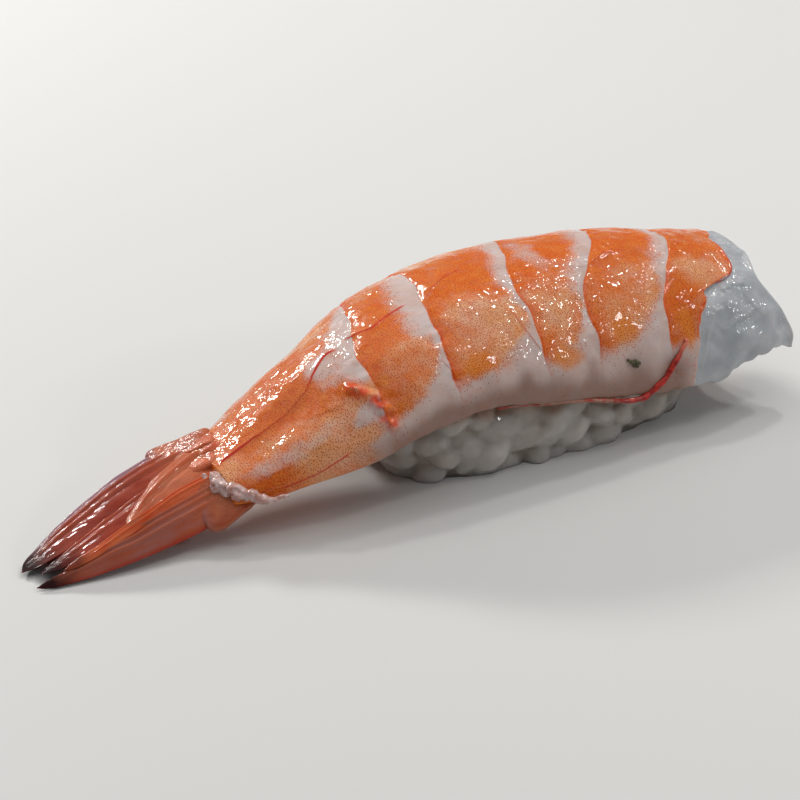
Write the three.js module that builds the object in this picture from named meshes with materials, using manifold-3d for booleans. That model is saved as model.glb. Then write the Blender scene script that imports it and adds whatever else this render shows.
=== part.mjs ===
// Shrimp nigiri: one cooked shrimp, opened along its belly, draped over a hand-pressed block of rice.
//
// Millimetres, +Z up. The tail fan points to -X and the cut head end to +X. The flap on the -Y side
// is the one that shows. The rice stands on z = 0 and the tips of the tail fan come down to it.

import * as THREE from 'three';
import { mergeVertices } from 'three/addons/utils/BufferGeometryUtils.js';
import Module from 'manifold-3d';

const wasm = await Module();
wasm.setup();

// ---------------------------------------------------------------- driving dimensions

// Where the middle of the model's footprint lies in the coordinates used below.
const FOOTPRINT_MIDDLE = { x: -1.59, y: -0.07 };

// Cross-sections of the shrimp's back: the crest of the arch, half its width, the height of the flap
// edges and the middle of the arch across.
const BACK = [
  { x: -28.5, crest: 8.2, half: 6.6, edge: 5.4, middle: -2.6 },
  { x: -24.0, crest: 10.3, half: 8.2, edge: 5.8, middle: -2.3 },
  { x: -20.0, crest: 12.5, half: 9.5, edge: 6.6, middle: -2.0 },
  { x: -12.0, crest: 17.1, half: 11.3, edge: 8.2, middle: -1.9 },
  { x: -4.0, crest: 20.6, half: 13.1, edge: 10.9, middle: -1.1 },
  { x: 6.0, crest: 22.9, half: 14.2, edge: 11.6, middle: -0.2 },
  { x: 16.0, crest: 23.4, half: 14.9, edge: 9.9, middle: 0.2 },
  { x: 26.0, crest: 23.4, half: 14.2, edge: 8.0, middle: -0.6 },
  { x: 34.0, crest: 22.6, half: 13.4, edge: 7.0, middle: -1.2 },
  { x: 39.5, crest: 21.3, half: 13.0, edge: 6.9, middle: -1.7 },
  { x: 44.0, crest: 20.3, half: 12.6, edge: 8.3, middle: -2.0 },
  { x: 51.0, crest: 18.5, half: 11.8, edge: 8.8, middle: -2.3 },
];
const ARCH_FULLNESS = 0.85;

// Rear edges of the body rings. Each runs straight up from the lower edge, then sweeps towards the
// head between two angles of the arch (degrees, -90 at the front flap edge, 0 at the crest).
const RING_EDGES = [
  { x: -9.3, sweep: 6.0, from: -30, to: 60 },
  { x: 0.0, sweep: 4.0, from: -50, to: 40 },
  { x: 12.8, sweep: 5.2, from: -35, to: 35 },
  { x: 20.6, sweep: 9.0, from: -50, to: 20 },
  { x: 31.7, sweep: 6.6, from: -56, to: 0 },
  { x: 36.6, sweep: 10.5, from: -58, to: 5 },
];
const RING_STEP = 0.55;
const RING_STEP_LENGTH = 1.8;
const RING_EDGE_WIDTH = 0.35;
const RING_RETURN = 0.35;

// The crease along the last ring: a ridge on the far side of it and a hollow on the near side.
const CREASE_FROM = -26.5;
const CREASE_TO = -9.5;
const CREASE_ANGLE_FROM = -14;
const CREASE_ANGLE_TO = 1;
const CREASE_RIDGE = { height: 0.5, off: 12, spread: 12 };
const CREASE_HOLLOW = { height: -1.1, off: -16, spread: 16 };

const TAIL_ROOT_X = -28.5;
const HEAD_X = 48.4;
const HEAD_LOBE = { reach: 2.5, angle: -88, spread: 20 };
const HEAD_NOTCH = { reach: -1.5, angle: -44, spread: 18 };
const HEAD_ROUND = 1.5;
const HEAD_CAP = [0.94, 0.78, 0.54, 0.27];

// The flesh: thin at the flap edges, thick at the crest, and closed underneath towards both ends.
const FLAP_THICKNESS = 2.6;
const CREST_THICKNESS = 5.6;
const LIP_DROP = 0.7;
const TAIL_CLOSED_X = -11.5;
const TAIL_OPEN_X = -7.5;
const HEAD_OPEN_X = 38.5;
const HEAD_CLOSED_X = 42.5;
const UNDERSIDE_DROP = 1.6;

// Tail fan: thin blades lying on one another. Each runs from the body to its tip between two edge
// curves; its ridge lies at a share of the way across, risen above them, and it bellies below them.
const FAN_BLADES = [
  {
    outer: [[-26.5, 5.2, 6.8], [-34.5, 8.2, 5.2], [-46.0, 3.6, 1.9], [-54.3, -2.2, 0.4]],
    inner: [[-27.0, -1.0, 7.0], [-37.0, -2.0, 5.6], [-47.0, -4.6, 2.8], [-53.6, -4.2, 0.9]],
    ridge: 0.45, rise: 0.8, belly: 1.4,
  },
  {
    outer: [[-27.5, 2.0, 6.6], [-34.0, 2.4, 5.6], [-46.0, -1.4, 2.6], [-52.6, -4.6, 0.8]],
    inner: [[-28.0, -4.5, 6.4], [-37.0, -4.4, 5.6], [-45.0, -7.4, 3.2], [-52.2, -6.2, 1.3]],
    ridge: 0.5, rise: 0.6, belly: 1.8,
  },
  {
    outer: [[-26.0, 2.6, 8.3], [-30.0, 1.2, 8.0], [-34.0, -2.6, 6.6], [-41.4, -5.9, 4.7]],
    inner: [[-26.5, -1.6, 8.3], [-30.5, -1.6, 7.8], [-35.0, -3.6, 6.4], [-41.2, -6.2, 4.6]],
    ridge: 0.5, rise: 0.6, belly: 2.2,
  },
  {
    outer: [[-25.5, -2.4, 8.0], [-31.0, -0.6, 7.4], [-38.0, -5.4, 5.2], [-50.4, -6.4, 1.8]],
    inner: [[-26.0, -6.2, 7.0], [-33.0, -4.6, 6.4], [-42.0, -8.0, 3.6], [-50.2, -7.4, 1.5]],
    ridge: 0.45, rise: 0.7, belly: 2.4,
  },
  {
    outer: [[-27.0, -5.2, 6.6], [-36.0, -5.4, 5.1], [-46.0, -6.6, 2.1], [-53.4, -6.6, 0.6]],
    inner: [[-26.5, -8.4, 4.4], [-35.0, -9.6, 2.0], [-45.0, -9.2, 0.6], [-54.2, -7.4, 0.2]],
    ridge: 0.35, rise: 0.9, belly: 0.9,
  },
];
const BLADE_TIP = 0.08;
const BLADE_SHOULDER = 0.7;
const BLADE_KEEL = 0.8;

// Short plates that cover the roots of the outer blades.
const ROOT_PLATES = [
  { at: [-31.2, -7.3, 4.9], size: [12.0, 5.4, 3.6], turn: 6, lean: 15 },
  { at: [-29.9, 3.5, 6.6], size: [9.8, 5.2, 3.0], turn: -14, lean: 13 },
];

// A torn scrap of skin at the joint of the tail, ending in a free point.
const SCRAP_PATH = [
  [-29.6, -7.0, 6.9], [-27.6, -8.4, 6.9], [-25.9, -10.6, 6.0], [-24.3, -11.6, 5.9], [-22.4, -12.0, 6.5],
];
const SCRAP_RADIUS = 1.35;
const SCRAP_TIP_RADIUS = 0.12;

// A red strand lies along the front flap edge and curls up at its free end. Its curl is listed as
// places along the body and angles of the arch.
const STRAND_RADIUS = 0.45;
const STRAND_THINNING = 0.45;
const STRAND_FROM = 9.0;
const STRAND_TO = 30.0;
const STRAND_ANGLE = -88;
const STRAND_CURL = [
  { x: 32.4, angle: -84 },
  { x: 33.7, angle: -76 },
  { x: 34.2, angle: -68 },
];

// Rice block: a loose oval, fullest a little above its foot.
const RICE_MIDDLE = { x: 18.0, y: 0.0 };
const RICE_HALF_LENGTH = 25.2;
const RICE_HALF_WIDTH = 12.0;
const RICE_FOOT = 0.9;
const RICE_SQUARENESS = 3.2;
const RICE_FULLEST_Z = 4.5;
const RICE_DOME_Z = 8;
const RICE_SINK = 1.2;
const CORE_END = 0.995;

// Grains showing on the rice block.
const GRAIN_LENGTH = 5.8;
const GRAIN_WIDTH = 3.2;
const GRAIN_ROWS = [1.4, 3.9, 6.4, 8.9];
const GRAIN_SPACING = 4.0;
const GRAIN_RAISED = 1.4;
const GRAIN_SUNK = 0.35;
const GRAIN_SUNK_MORE = 0.5;
const GRAIN_TWIST = 0.5;
const GRAIN_SMALLEST = 0.88;
const GRAIN_LARGEST = 1.12;
const GRAIN_SEED = 29;

// Clearance between the shrimp and the rice.
const CLEARANCE = 0.32;

// Facets.
const ARCH_STEPS = 22;
const UNDER_STEPS = 9;
const STEPS_PER_RING = [0.1, 0.36, 0.64, 0.9];
const STEPS_OF_LAST_RING = [0.14, 0.3, 0.46, 0.62, 0.78, 0.93];
const FAN_STATIONS = 13;
const PLATE_SIDES = 12;
const PLATE_RINGS = 7;
const TUBE_SIDES = 7;
const SCRAP_STEPS = 9;
const STRAND_SPACING = 3;
const STRAND_STEPS = 22;
const CORE_STATIONS = 13;
const CORE_HEIGHTS = [0, 2.2, 4.5, 8];
const DOME_STEPS = 8;
const OUTLINE_CORNERS = 48;

// Points closer than this are one point.
const WELD = 1e-4;

// ---------------------------------------------------------------- small helpers

const radians = THREE.MathUtils.degToRad;
const lerp = THREE.MathUtils.lerp;
const smoothstep = THREE.MathUtils.smoothstep;

// Smooth curve through rows that are sorted by x; the slope at a row follows its two neighbours.
function along(rows, key, x) {
  const last = rows.length - 1;
  let i = 0;
  while (i < last - 1 && x > rows[i + 1].x) {
    i += 1;
  }
  const slope = (k) => {
    const a = rows[Math.max(k - 1, 0)];
    const b = rows[Math.min(k + 1, last)];
    return (b[key] - a[key]) / (b.x - a.x);
  };
  const step = rows[i + 1].x - rows[i].x;
  const t = THREE.MathUtils.clamp((x - rows[i].x) / step, 0, 1);
  const rise = t * t * (3 - 2 * t);
  const out = t * (1 - t) * (1 - t) * step;
  const back = t * t * (t - 1) * step;
  return lerp(rows[i][key], rows[i + 1][key], rise) + out * slope(i) + back * slope(i + 1);
}

// Repeatable random numbers from 0 to 1.
function seededRandom(seed) {
  let state = seed;
  return () => {
    state = (state * 1664525 + 1013904223) % 4294967296;
    return state / 4294967296;
  };
}

function middleOf(points) {
  const sum = new THREE.Vector3();
  points.forEach((p) => sum.add(p));
  return sum.divideScalar(points.length);
}

// Closed skin through rings of equally many points, listed anticlockwise as seen from the last ring
// looking back at the first. Both ends close on the middle of their ring.
function loft(rings) {
  const count = rings[0].length;
  const points = rings.flat();
  const faces = [];
  for (let r = 0; r < rings.length - 1; r += 1) {
    for (let i = 0; i < count; i += 1) {
      const next = (i + 1) % count;
      const a = r * count + i;
      const b = r * count + next;
      faces.push(a, b, b + count, a, b + count, a + count);
    }
  }
  const start = points.length;
  points.push(middleOf(rings[0]), middleOf(rings[rings.length - 1]));
  const lastRing = (rings.length - 1) * count;
  for (let i = 0; i < count; i += 1) {
    const next = (i + 1) % count;
    faces.push(start, next, i);
    faces.push(start + 1, lastRing + i, lastRing + next);
  }
  const geometry = new THREE.BufferGeometry().setFromPoints(points);
  geometry.setIndex(faces);
  return geometry;
}

function toSolid(geometry) {
  const bare = geometry.clone();
  bare.deleteAttribute('normal');
  bare.deleteAttribute('uv');
  const merged = mergeVertices(bare, WELD);
  return new wasm.Manifold(new wasm.Mesh({
    numProp: 3,
    vertProperties: new Float32Array(merged.attributes.position.array),
    triVerts: new Uint32Array(merged.index.array),
  }));
}

function toGeometry(solid) {
  const mesh = solid.getMesh();
  const geometry = new THREE.BufferGeometry();
  geometry.setAttribute('position', new THREE.BufferAttribute(mesh.vertProperties, 3));
  geometry.setIndex(new THREE.BufferAttribute(mesh.triVerts, 1));
  return geometry;
}

// The largest connected skin of a geometry: a hollow that joining has sealed is filled, and a loose
// scrap is dropped.
function largestSkin(geometry) {
  const merged = mergeVertices(geometry, WELD);
  const corners = merged.index.array;
  const place = merged.attributes.position;
  const leader = Array.from({ length: place.count }, (_, i) => i);
  const leaderOf = (i) => {
    let k = i;
    while (leader[k] !== k) {
      leader[k] = leader[leader[k]];
      k = leader[k];
    }
    return k;
  };
  for (let i = 0; i < corners.length; i += 3) {
    leader[leaderOf(corners[i + 1])] = leaderOf(corners[i]);
    leader[leaderOf(corners[i + 2])] = leaderOf(corners[i]);
  }
  const skins = new Map();
  const corner = (i) => new THREE.Vector3().fromBufferAttribute(place, corners[i]);
  for (let i = 0; i < corners.length; i += 3) {
    const key = leaderOf(corners[i]);
    const skin = skins.get(key) ?? { volume: 0, faces: [] };
    skin.volume += corner(i).dot(corner(i + 1).cross(corner(i + 2))) / 6;
    skin.faces.push(corners[i], corners[i + 1], corners[i + 2]);
    skins.set(key, skin);
  }
  const largest = [...skins.values()].sort((a, b) => b.volume - a.volume)[0];
  merged.setIndex(largest.faces);
  return mergeVertices(merged.toNonIndexed(), WELD);
}

// Every point moved out along its normal.
function grown(geometry, distance) {
  const bare = geometry.clone();
  bare.computeVertexNormals();
  const place = bare.attributes.position;
  const normal = bare.attributes.normal;
  for (let i = 0; i < place.count; i += 1) {
    place.setXYZ(
      i,
      place.getX(i) + distance * normal.getX(i),
      place.getY(i) + distance * normal.getY(i),
      place.getZ(i) + distance * normal.getZ(i),
    );
  }
  return bare;
}

// ---------------------------------------------------------------- shrimp body

// A smooth hump, 1 high, round zero.
function hump(off, spread) {
  return Math.exp(-((off / spread) ** 2));
}

// Down the far side the edge runs part of the way back again.
function ringEdgeX(edge, angle) {
  const swept = smoothstep(angle, edge.from, edge.to);
  const returned = RING_RETURN * smoothstep(angle, edge.to, 100);
  return edge.x + edge.sweep * swept * (1 - returned);
}

// The cut end is uneven: a lobe hangs forward at the front flap, above it the cut runs back.
function headX(angle) {
  const bulge = (shape) => shape.reach * hump(angle - shape.angle, shape.spread);
  return HEAD_X + bulge(HEAD_LOBE) + bulge(HEAD_NOTCH);
}

// Depth of the step behind each ring's rear edge, and of the crease along the last ring.
function relief(x, angle) {
  let depth = 0;
  for (const edge of RING_EDGES) {
    const ahead = x - ringEdgeX(edge, angle);
    const behind = ahead < 0 ? Math.exp(ahead / RING_STEP_LENGTH) : Math.exp(-ahead / RING_EDGE_WIDTH);
    depth -= RING_STEP * behind;
  }
  const t = (x - CREASE_FROM) / (CREASE_TO - CREASE_FROM);
  if (t > 0 && t < 1) {
    const off = angle - lerp(CREASE_ANGLE_FROM, CREASE_ANGLE_TO, t);
    for (const fold of [CREASE_RIDGE, CREASE_HOLLOW]) {
      depth += Math.sin(Math.PI * t) * fold.height * hump(off - fold.off, fold.spread);
    }
  }
  return depth;
}

function archPoint(x, angle) {
  const half = along(BACK, 'half', x);
  const crest = along(BACK, 'crest', x);
  const edge = along(BACK, 'edge', x);
  const across = Math.sin(radians(angle));
  const up = Math.max(Math.cos(radians(angle)), 0) ** ARCH_FULLNESS;
  const depth = relief(x, angle) * Math.cos(radians(angle)) ** 0.5;
  const y = along(BACK, 'middle', x) + (half + depth) * across;
  const z = edge + (crest - edge + depth) * up;
  return new THREE.Vector3(x, y, z);
}

// How far the underside is closed: 1 at both ends, 0 where the flaps hang over the rice.
function closedUnder(x) {
  const atTail = 1 - smoothstep(x, TAIL_CLOSED_X, TAIL_OPEN_X);
  const atHead = smoothstep(x, HEAD_OPEN_X, HEAD_CLOSED_X);
  return Math.max(atTail, atHead);
}

function underPoint(x, angle) {
  const half = along(BACK, 'half', x) - FLAP_THICKNESS;
  const edge = along(BACK, 'edge', x);
  const up = Math.max(Math.cos(radians(angle)), 0) ** ARCH_FULLNESS;
  const hollow = edge + (along(BACK, 'crest', x) - CREST_THICKNESS - edge) * up;
  const flat = edge - UNDERSIDE_DROP * (0.5 + 0.5 * up);
  const y = along(BACK, 'middle', x) + half * Math.sin(radians(angle));
  return new THREE.Vector3(x, y, lerp(hollow, flat, closedUnder(x)));
}

// The rounded lip between the outer skin and the underside; side is -1 at the front, 1 at the back.
function lipPoint(x, side) {
  const half = along(BACK, 'half', x) - FLAP_THICKNESS / 2;
  const y = along(BACK, 'middle', x) + side * half;
  return new THREE.Vector3(x, y, along(BACK, 'edge', x) - LIP_DROP);
}

// One ring of the body. place(angle) gives x where the ring crosses that angle of the arch.
function bodyRing(place) {
  const ring = [];
  for (let i = 0; i <= ARCH_STEPS; i += 1) {
    const angle = lerp(90, -90, i / ARCH_STEPS);
    ring.push(archPoint(place(angle), angle));
  }
  ring.push(lipPoint(place(-90), -1));
  for (let i = 0; i <= UNDER_STEPS; i += 1) {
    const angle = lerp(-90, 90, i / UNDER_STEPS);
    ring.push(underPoint(place(angle), angle));
  }
  ring.push(lipPoint(place(90), 1));
  return ring;
}

// Rings follow the swept edges, so that each step in the skin has its own row of points.
function bodyPlaces() {
  const lines = [() => TAIL_ROOT_X];
  RING_EDGES.forEach((edge) => lines.push((angle) => ringEdgeX(edge, angle)));
  lines.push(headX);
  const places = [lines[0]];
  for (let k = 0; k < lines.length - 1; k += 1) {
    const steps = k === 0 ? STEPS_OF_LAST_RING : STEPS_PER_RING;
    for (const step of steps) {
      places.push((angle) => lerp(lines[k](angle), lines[k + 1](angle), step));
    }
    places.push(lines[k + 1]);
  }
  return places;
}

// A smaller copy of the cut end's ring about its own middle. The uneven cut levels out inwards and
// swells a little.
function capRing(ring, scale) {
  const middle = middleOf(ring);
  return ring.map((p) => {
    const shrunk = middle.clone().lerp(p, scale);
    shrunk.x = lerp(middle.x, p.x, scale ** 2) + HEAD_ROUND * Math.sqrt(1 - scale ** 2);
    return shrunk;
  });
}

function bodyGeometry() {
  const rings = bodyPlaces().map(bodyRing);
  const head = rings[rings.length - 1];
  HEAD_CAP.forEach((scale) => rings.push(capRing(head, scale)));
  return loft(rings);
}

// ---------------------------------------------------------------- tail fan

// Thickness along a blade: full near the body, fine at the tip.
function bladeTaper(t) {
  return Math.max(Math.sin(Math.PI * lerp(0.3, 1, t)), 0) ** 0.7 + BLADE_TIP;
}

function bladeGeometry(blade) {
  const outer = new THREE.CubicBezierCurve3(...blade.outer.map((p) => new THREE.Vector3(...p)));
  const inner = new THREE.CubicBezierCurve3(...blade.inner.map((p) => new THREE.Vector3(...p)));
  const shares = [0, 0.5 * blade.ridge, blade.ridge, 0.5 + 0.5 * blade.ridge];
  const rings = [];
  for (let k = 0; k < FAN_STATIONS; k += 1) {
    const t = k / (FAN_STATIONS - 1);
    const from = outer.getPoint(t);
    const to = inner.getPoint(t);
    const taper = bladeTaper(t);
    const at = (share, lift) => {
      const point = from.clone().lerp(to, share);
      point.z = Math.max(point.z + lift * taper, 0);
      return point;
    };
    rings.push([
      at(1, 0),
      at(shares[3], BLADE_SHOULDER * blade.rise),
      at(shares[2], blade.rise),
      at(shares[1], BLADE_SHOULDER * blade.rise),
      at(0, 0),
      at(shares[1], -BLADE_KEEL * blade.belly),
      at(shares[3], -BLADE_KEEL * blade.belly),
    ]);
  }
  return loft(rings);
}

function rootPlateGeometry(plate) {
  const geometry = new THREE.SphereGeometry(0.5, PLATE_SIDES, PLATE_RINGS);
  geometry.scale(...plate.size);
  geometry.rotateY(radians(-plate.lean));
  geometry.rotateZ(radians(plate.turn));
  geometry.translate(...plate.at);
  return geometry;
}

// ---------------------------------------------------------------- scrap of skin and red strand

function tubeGeometry(path, radiusAt, steps) {
  const curve = new THREE.CatmullRomCurve3(path);
  const frames = curve.computeFrenetFrames(steps, false);
  const rings = [];
  for (let k = 0; k <= steps; k += 1) {
    const t = k / steps;
    const centre = curve.getPointAt(t);
    const ring = [];
    for (let i = 0; i < TUBE_SIDES; i += 1) {
      const turn = (2 * Math.PI * i) / TUBE_SIDES;
      const point = centre.clone().addScaledVector(frames.normals[k], radiusAt(t) * Math.cos(turn));
      ring.push(point.addScaledVector(frames.binormals[k], radiusAt(t) * Math.sin(turn)));
    }
    rings.push(ring);
  }
  return loft(rings);
}

function scrapGeometry() {
  const path = SCRAP_PATH.map((p) => new THREE.Vector3(...p));
  const radiusAt = (t) => SCRAP_RADIUS * (1 - t) ** 0.7 + SCRAP_TIP_RADIUS;
  return tubeGeometry(path, radiusAt, SCRAP_STEPS);
}

// The strand's path hugs the outside of the flap edge; its curl climbs the flap.
function strandGeometry(radius) {
  const path = [];
  for (let x = STRAND_FROM; x <= STRAND_TO; x += STRAND_SPACING) {
    path.push(archPoint(x, STRAND_ANGLE));
  }
  STRAND_CURL.forEach((place) => path.push(archPoint(place.x, place.angle)));
  const radiusAt = (t) => radius * (1 - STRAND_THINNING * Math.abs(2 * t - 1) ** 3);
  return tubeGeometry(path, radiusAt, STRAND_STEPS);
}

// ---------------------------------------------------------------- rice

// Half width of the block at x: a squared-off oval.
function riceHalfWidth(x) {
  const u = Math.abs(x - RICE_MIDDLE.x) / RICE_HALF_LENGTH;
  return RICE_HALF_WIDTH * Math.max(1 - u ** RICE_SQUARENESS, 0) ** (1 / RICE_SQUARENESS);
}

// A point of the block's skin: x and y as at its fullest, drawn in towards the foot.
function ricePoint(x, y, z) {
  const fullness = lerp(RICE_FOOT, 1, smoothstep(z, 0, RICE_FULLEST_Z));
  return new THREE.Vector3(
    lerp(RICE_MIDDLE.x, x, fullness),
    lerp(RICE_MIDDLE.y, y, fullness),
    z,
  );
}

// The block without its grains. Its top ends inside the shrimp, which trims it.
function riceCoreGeometry() {
  const rings = [];
  for (let k = 0; k < CORE_STATIONS; k += 1) {
    const end = Math.sin((Math.PI / 2) * (2 * (k / (CORE_STATIONS - 1)) - 1));
    const x = RICE_MIDDLE.x + CORE_END * RICE_HALF_LENGTH * end;
    const half = riceHalfWidth(x);
    const top = along(BACK, 'crest', x) - CREST_THICKNESS + RICE_SINK;
    const ring = CORE_HEIGHTS.map((z) => ricePoint(x, RICE_MIDDLE.y + half, z));
    for (let i = 1; i < DOME_STEPS; i += 1) {
      const angle = (Math.PI * i) / DOME_STEPS;
      const z = RICE_DOME_Z + (top - RICE_DOME_Z) * Math.sin(angle);
      ring.push(ricePoint(x, RICE_MIDDLE.y + half * Math.cos(angle), z));
    }
    for (const z of CORE_HEIGHTS.slice().reverse()) {
      ring.push(ricePoint(x, RICE_MIDDLE.y - half, z));
    }
    rings.push(ring);
  }
  return loft(rings);
}

// One grain: a plump spindle of few facets, lying along an axis.
function grainGeometry(place, axis, size) {
  const geometry = new THREE.IcosahedronGeometry(0.5, 0);
  geometry.scale(GRAIN_WIDTH * size, GRAIN_LENGTH * size, GRAIN_WIDTH * size);
  geometry.applyQuaternion(new THREE.Quaternion().setFromUnitVectors(new THREE.Vector3(0, 1, 0), axis));
  geometry.translate(place.x, place.y, place.z);
  return geometry;
}

// The block's outline at its fullest, seen from above.
function riceOutline() {
  const corners = [];
  for (let i = 0; i < OUTLINE_CORNERS; i += 1) {
    const turn = (2 * Math.PI * i) / OUTLINE_CORNERS;
    const x = RICE_MIDDLE.x + RICE_HALF_LENGTH * Math.cos(turn);
    const side = Math.sign(Math.sin(turn));
    corners.push(new THREE.Vector3(x, RICE_MIDDLE.y + side * riceHalfWidth(x), 0));
  }
  return new THREE.CatmullRomCurve3(corners, true);
}

// Grains in rows round the block, half sunk in it, each turned and sized at random.
function riceGrains() {
  const random = seededRandom(GRAIN_SEED);
  const outline = riceOutline();
  const count = Math.round(outline.getLength() / GRAIN_SPACING);
  const grains = [];
  for (const height of GRAIN_ROWS) {
    const start = random();
    for (let i = 0; i < count; i += 1) {
      const share = ((i + start + 0.5 * random()) / count) % 1;
      const flat = outline.getPointAt(share);
      const tangent = outline.getTangentAt(share);
      const outward = new THREE.Vector3(tangent.y, -tangent.x, 0);
      const place = ricePoint(flat.x, flat.y, height + GRAIN_RAISED * (random() - 0.5));
      place.addScaledVector(outward, -GRAIN_SUNK - GRAIN_SUNK_MORE * random());
      const tilt = Math.PI * (random() - 0.5);
      const axis = tangent.clone().multiplyScalar(Math.cos(tilt));
      axis.addScaledVector(outward, GRAIN_TWIST * (random() - 0.5));
      axis.z = Math.sin(tilt);
      const size = lerp(GRAIN_SMALLEST, GRAIN_LARGEST, random());
      grains.push(grainGeometry(place, axis.normalize(), size));
    }
  }
  return grains;
}

// ---------------------------------------------------------------- solids

function shrimpSolid() {
  const pieces = [
    ...FAN_BLADES.map(bladeGeometry),
    ...ROOT_PLATES.map(rootPlateGeometry),
    scrapGeometry(),
    strandGeometry(STRAND_RADIUS),
  ];
  return pieces.reduce((whole, piece) => whole.add(toSolid(piece)), toSolid(bodyGeometry()));
}

// The space below z = 0, used to trim the foot of the rice flat.
function spaceBelow() {
  const length = 4 * RICE_HALF_LENGTH;
  const width = 4 * RICE_HALF_WIDTH;
  const slab = new THREE.BoxGeometry(length, width, GRAIN_LENGTH);
  slab.translate(RICE_MIDDLE.x, RICE_MIDDLE.y, -GRAIN_LENGTH / 2);
  return toSolid(slab);
}

function riceSolid() {
  const core = toSolid(riceCoreGeometry());
  const heap = riceGrains().reduce((whole, grain) => whole.add(toSolid(grain)), core);
  const shrimpSpace = toSolid(grown(bodyGeometry(), CLEARANCE))
    .add(toSolid(strandGeometry(STRAND_RADIUS + CLEARANCE)));
  return heap.subtract(shrimpSpace).subtract(spaceBelow());
}

// ---------------------------------------------------------------- model

const shrimpFlesh = new THREE.MeshStandardMaterial({ color: 0xd98250, roughness: 0.35, metalness: 0 });
const cookedRice = new THREE.MeshStandardMaterial({ color: 0xdcd9d0, roughness: 0.45, metalness: 0 });

function named(name, solid, material) {
  const geometry = largestSkin(toGeometry(solid));
  geometry.computeVertexNormals();
  const mesh = new THREE.Mesh(geometry, material);
  mesh.name = name;
  return mesh;
}

const nigiri = new THREE.Group();
nigiri.add(named('shrimp', shrimpSolid(), shrimpFlesh));
nigiri.add(named('rice', riceSolid(), cookedRice));
nigiri.position.set(-FOOTPRINT_MIDDLE.x, -FOOTPRINT_MIDDLE.y, 0);

export default nigiri;
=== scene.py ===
"""Shrimp nigiri: the fine shape, the materials, the light and the camera.

Shapes are worked out in millimetres: X from the tail fan to the cut head end, Y across, Z up.
Places on the shrimp's back are given as x and an angle round the arch: -90 at the front flap edge,
0 at the crest, 90 at the far flap edge.
"""

import math

import bpy
import numpy as np
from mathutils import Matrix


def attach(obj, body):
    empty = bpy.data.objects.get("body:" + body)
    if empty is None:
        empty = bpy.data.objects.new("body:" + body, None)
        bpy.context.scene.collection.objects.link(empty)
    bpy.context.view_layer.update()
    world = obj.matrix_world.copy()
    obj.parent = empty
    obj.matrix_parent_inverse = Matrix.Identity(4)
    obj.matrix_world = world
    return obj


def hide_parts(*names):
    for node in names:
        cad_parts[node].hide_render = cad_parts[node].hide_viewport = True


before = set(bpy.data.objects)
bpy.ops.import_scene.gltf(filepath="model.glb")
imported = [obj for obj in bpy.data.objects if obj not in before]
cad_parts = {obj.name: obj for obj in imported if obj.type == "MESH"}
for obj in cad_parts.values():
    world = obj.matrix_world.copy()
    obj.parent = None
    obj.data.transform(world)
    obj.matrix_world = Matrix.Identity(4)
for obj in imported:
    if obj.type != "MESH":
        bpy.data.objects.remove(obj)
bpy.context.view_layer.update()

MM = 0.001

# Where the middle of the model's footprint lies in the coordinates used below.
FOOTPRINT_MIDDLE = np.array([-1.59, -0.07, 0.0])

# Cross-sections of the shrimp's back.
BACK = np.array([
    # x, crest, half width, flap edge, middle
    (-28.5, 8.2, 6.6, 5.4, -2.6),
    (-24.0, 10.3, 8.2, 5.8, -2.3),
    (-20.0, 12.5, 9.5, 6.6, -2.0),
    (-12.0, 17.1, 11.3, 8.2, -1.9),
    (-4.0, 20.6, 13.1, 10.9, -1.1),
    (6.0, 22.9, 14.2, 11.6, -0.2),
    (16.0, 23.4, 14.9, 9.9, 0.2),
    (26.0, 23.4, 14.2, 8.0, -0.6),
    (34.0, 22.6, 13.4, 7.0, -1.2),
    (39.5, 21.3, 13.0, 6.9, -1.7),
    (44.0, 20.3, 12.6, 8.3, -2.0),
    (51.0, 18.5, 11.8, 8.8, -2.3),
])
CREST, HALF, EDGE, MIDDLE = 1, 2, 3, 4
ARCH_FULLNESS = 0.85
TAIL_ROOT_X = -28.5
HEAD_X = 48.4

# Rear edges of the body rings: x, sweep, the two angles that the sweep lies between, and the widths
# of the white band behind the edge, at the crest and low on the flap.
RINGS = [
    (-9.3, 6.0, -30, 60, 3.2, 1.6),
    (0.0, 4.0, -50, 40, 3.4, 4.2),
    (12.8, 5.2, -35, 35, 2.0, 5.2),
    (20.6, 9.0, -50, 20, 2.6, 4.4),
    (31.7, 6.6, -56, 0, 2.0, 6.0),
]

# Where the orange skin ends and the white flesh of the head end begins: angle and x.
SKIN_END = np.array([
    (-90, 35.0), (-82, 35.4), (-70, 36.2), (-58, 36.8), (-52, 37.9), (-46, 38.4), (-42, 40.6),
    (-37, 43.2), (-30, 44.2), (-16, 44.7), (0, 45.6), (16, 47.4), (40, 47.4), (90, 46.0),
])
RING_STEP = 0.18
SKIN_STEP = 0.16
RING_STEP_LENGTH = 1.4
RING_EDGE_WIDTH = 0.45

# How far the cut end stands out past HEAD_X: how much, the angle and its spread.
HEAD_BULGES = [(2.5, -88, 20), (-1.5, -44, 18)]

# The fold beside the long red line: where it starts, its length and its angle at both ends. Then its
# ridge and its groove: height, angle beside the line and spread.
FOLD_START_X = -26.5
FOLD_LENGTH = 17.0
FOLD_ANGLES = (-14, 1)
FOLD_SIDES = [(0.5, 12, 12), (-0.75, -16, 16)]

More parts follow.
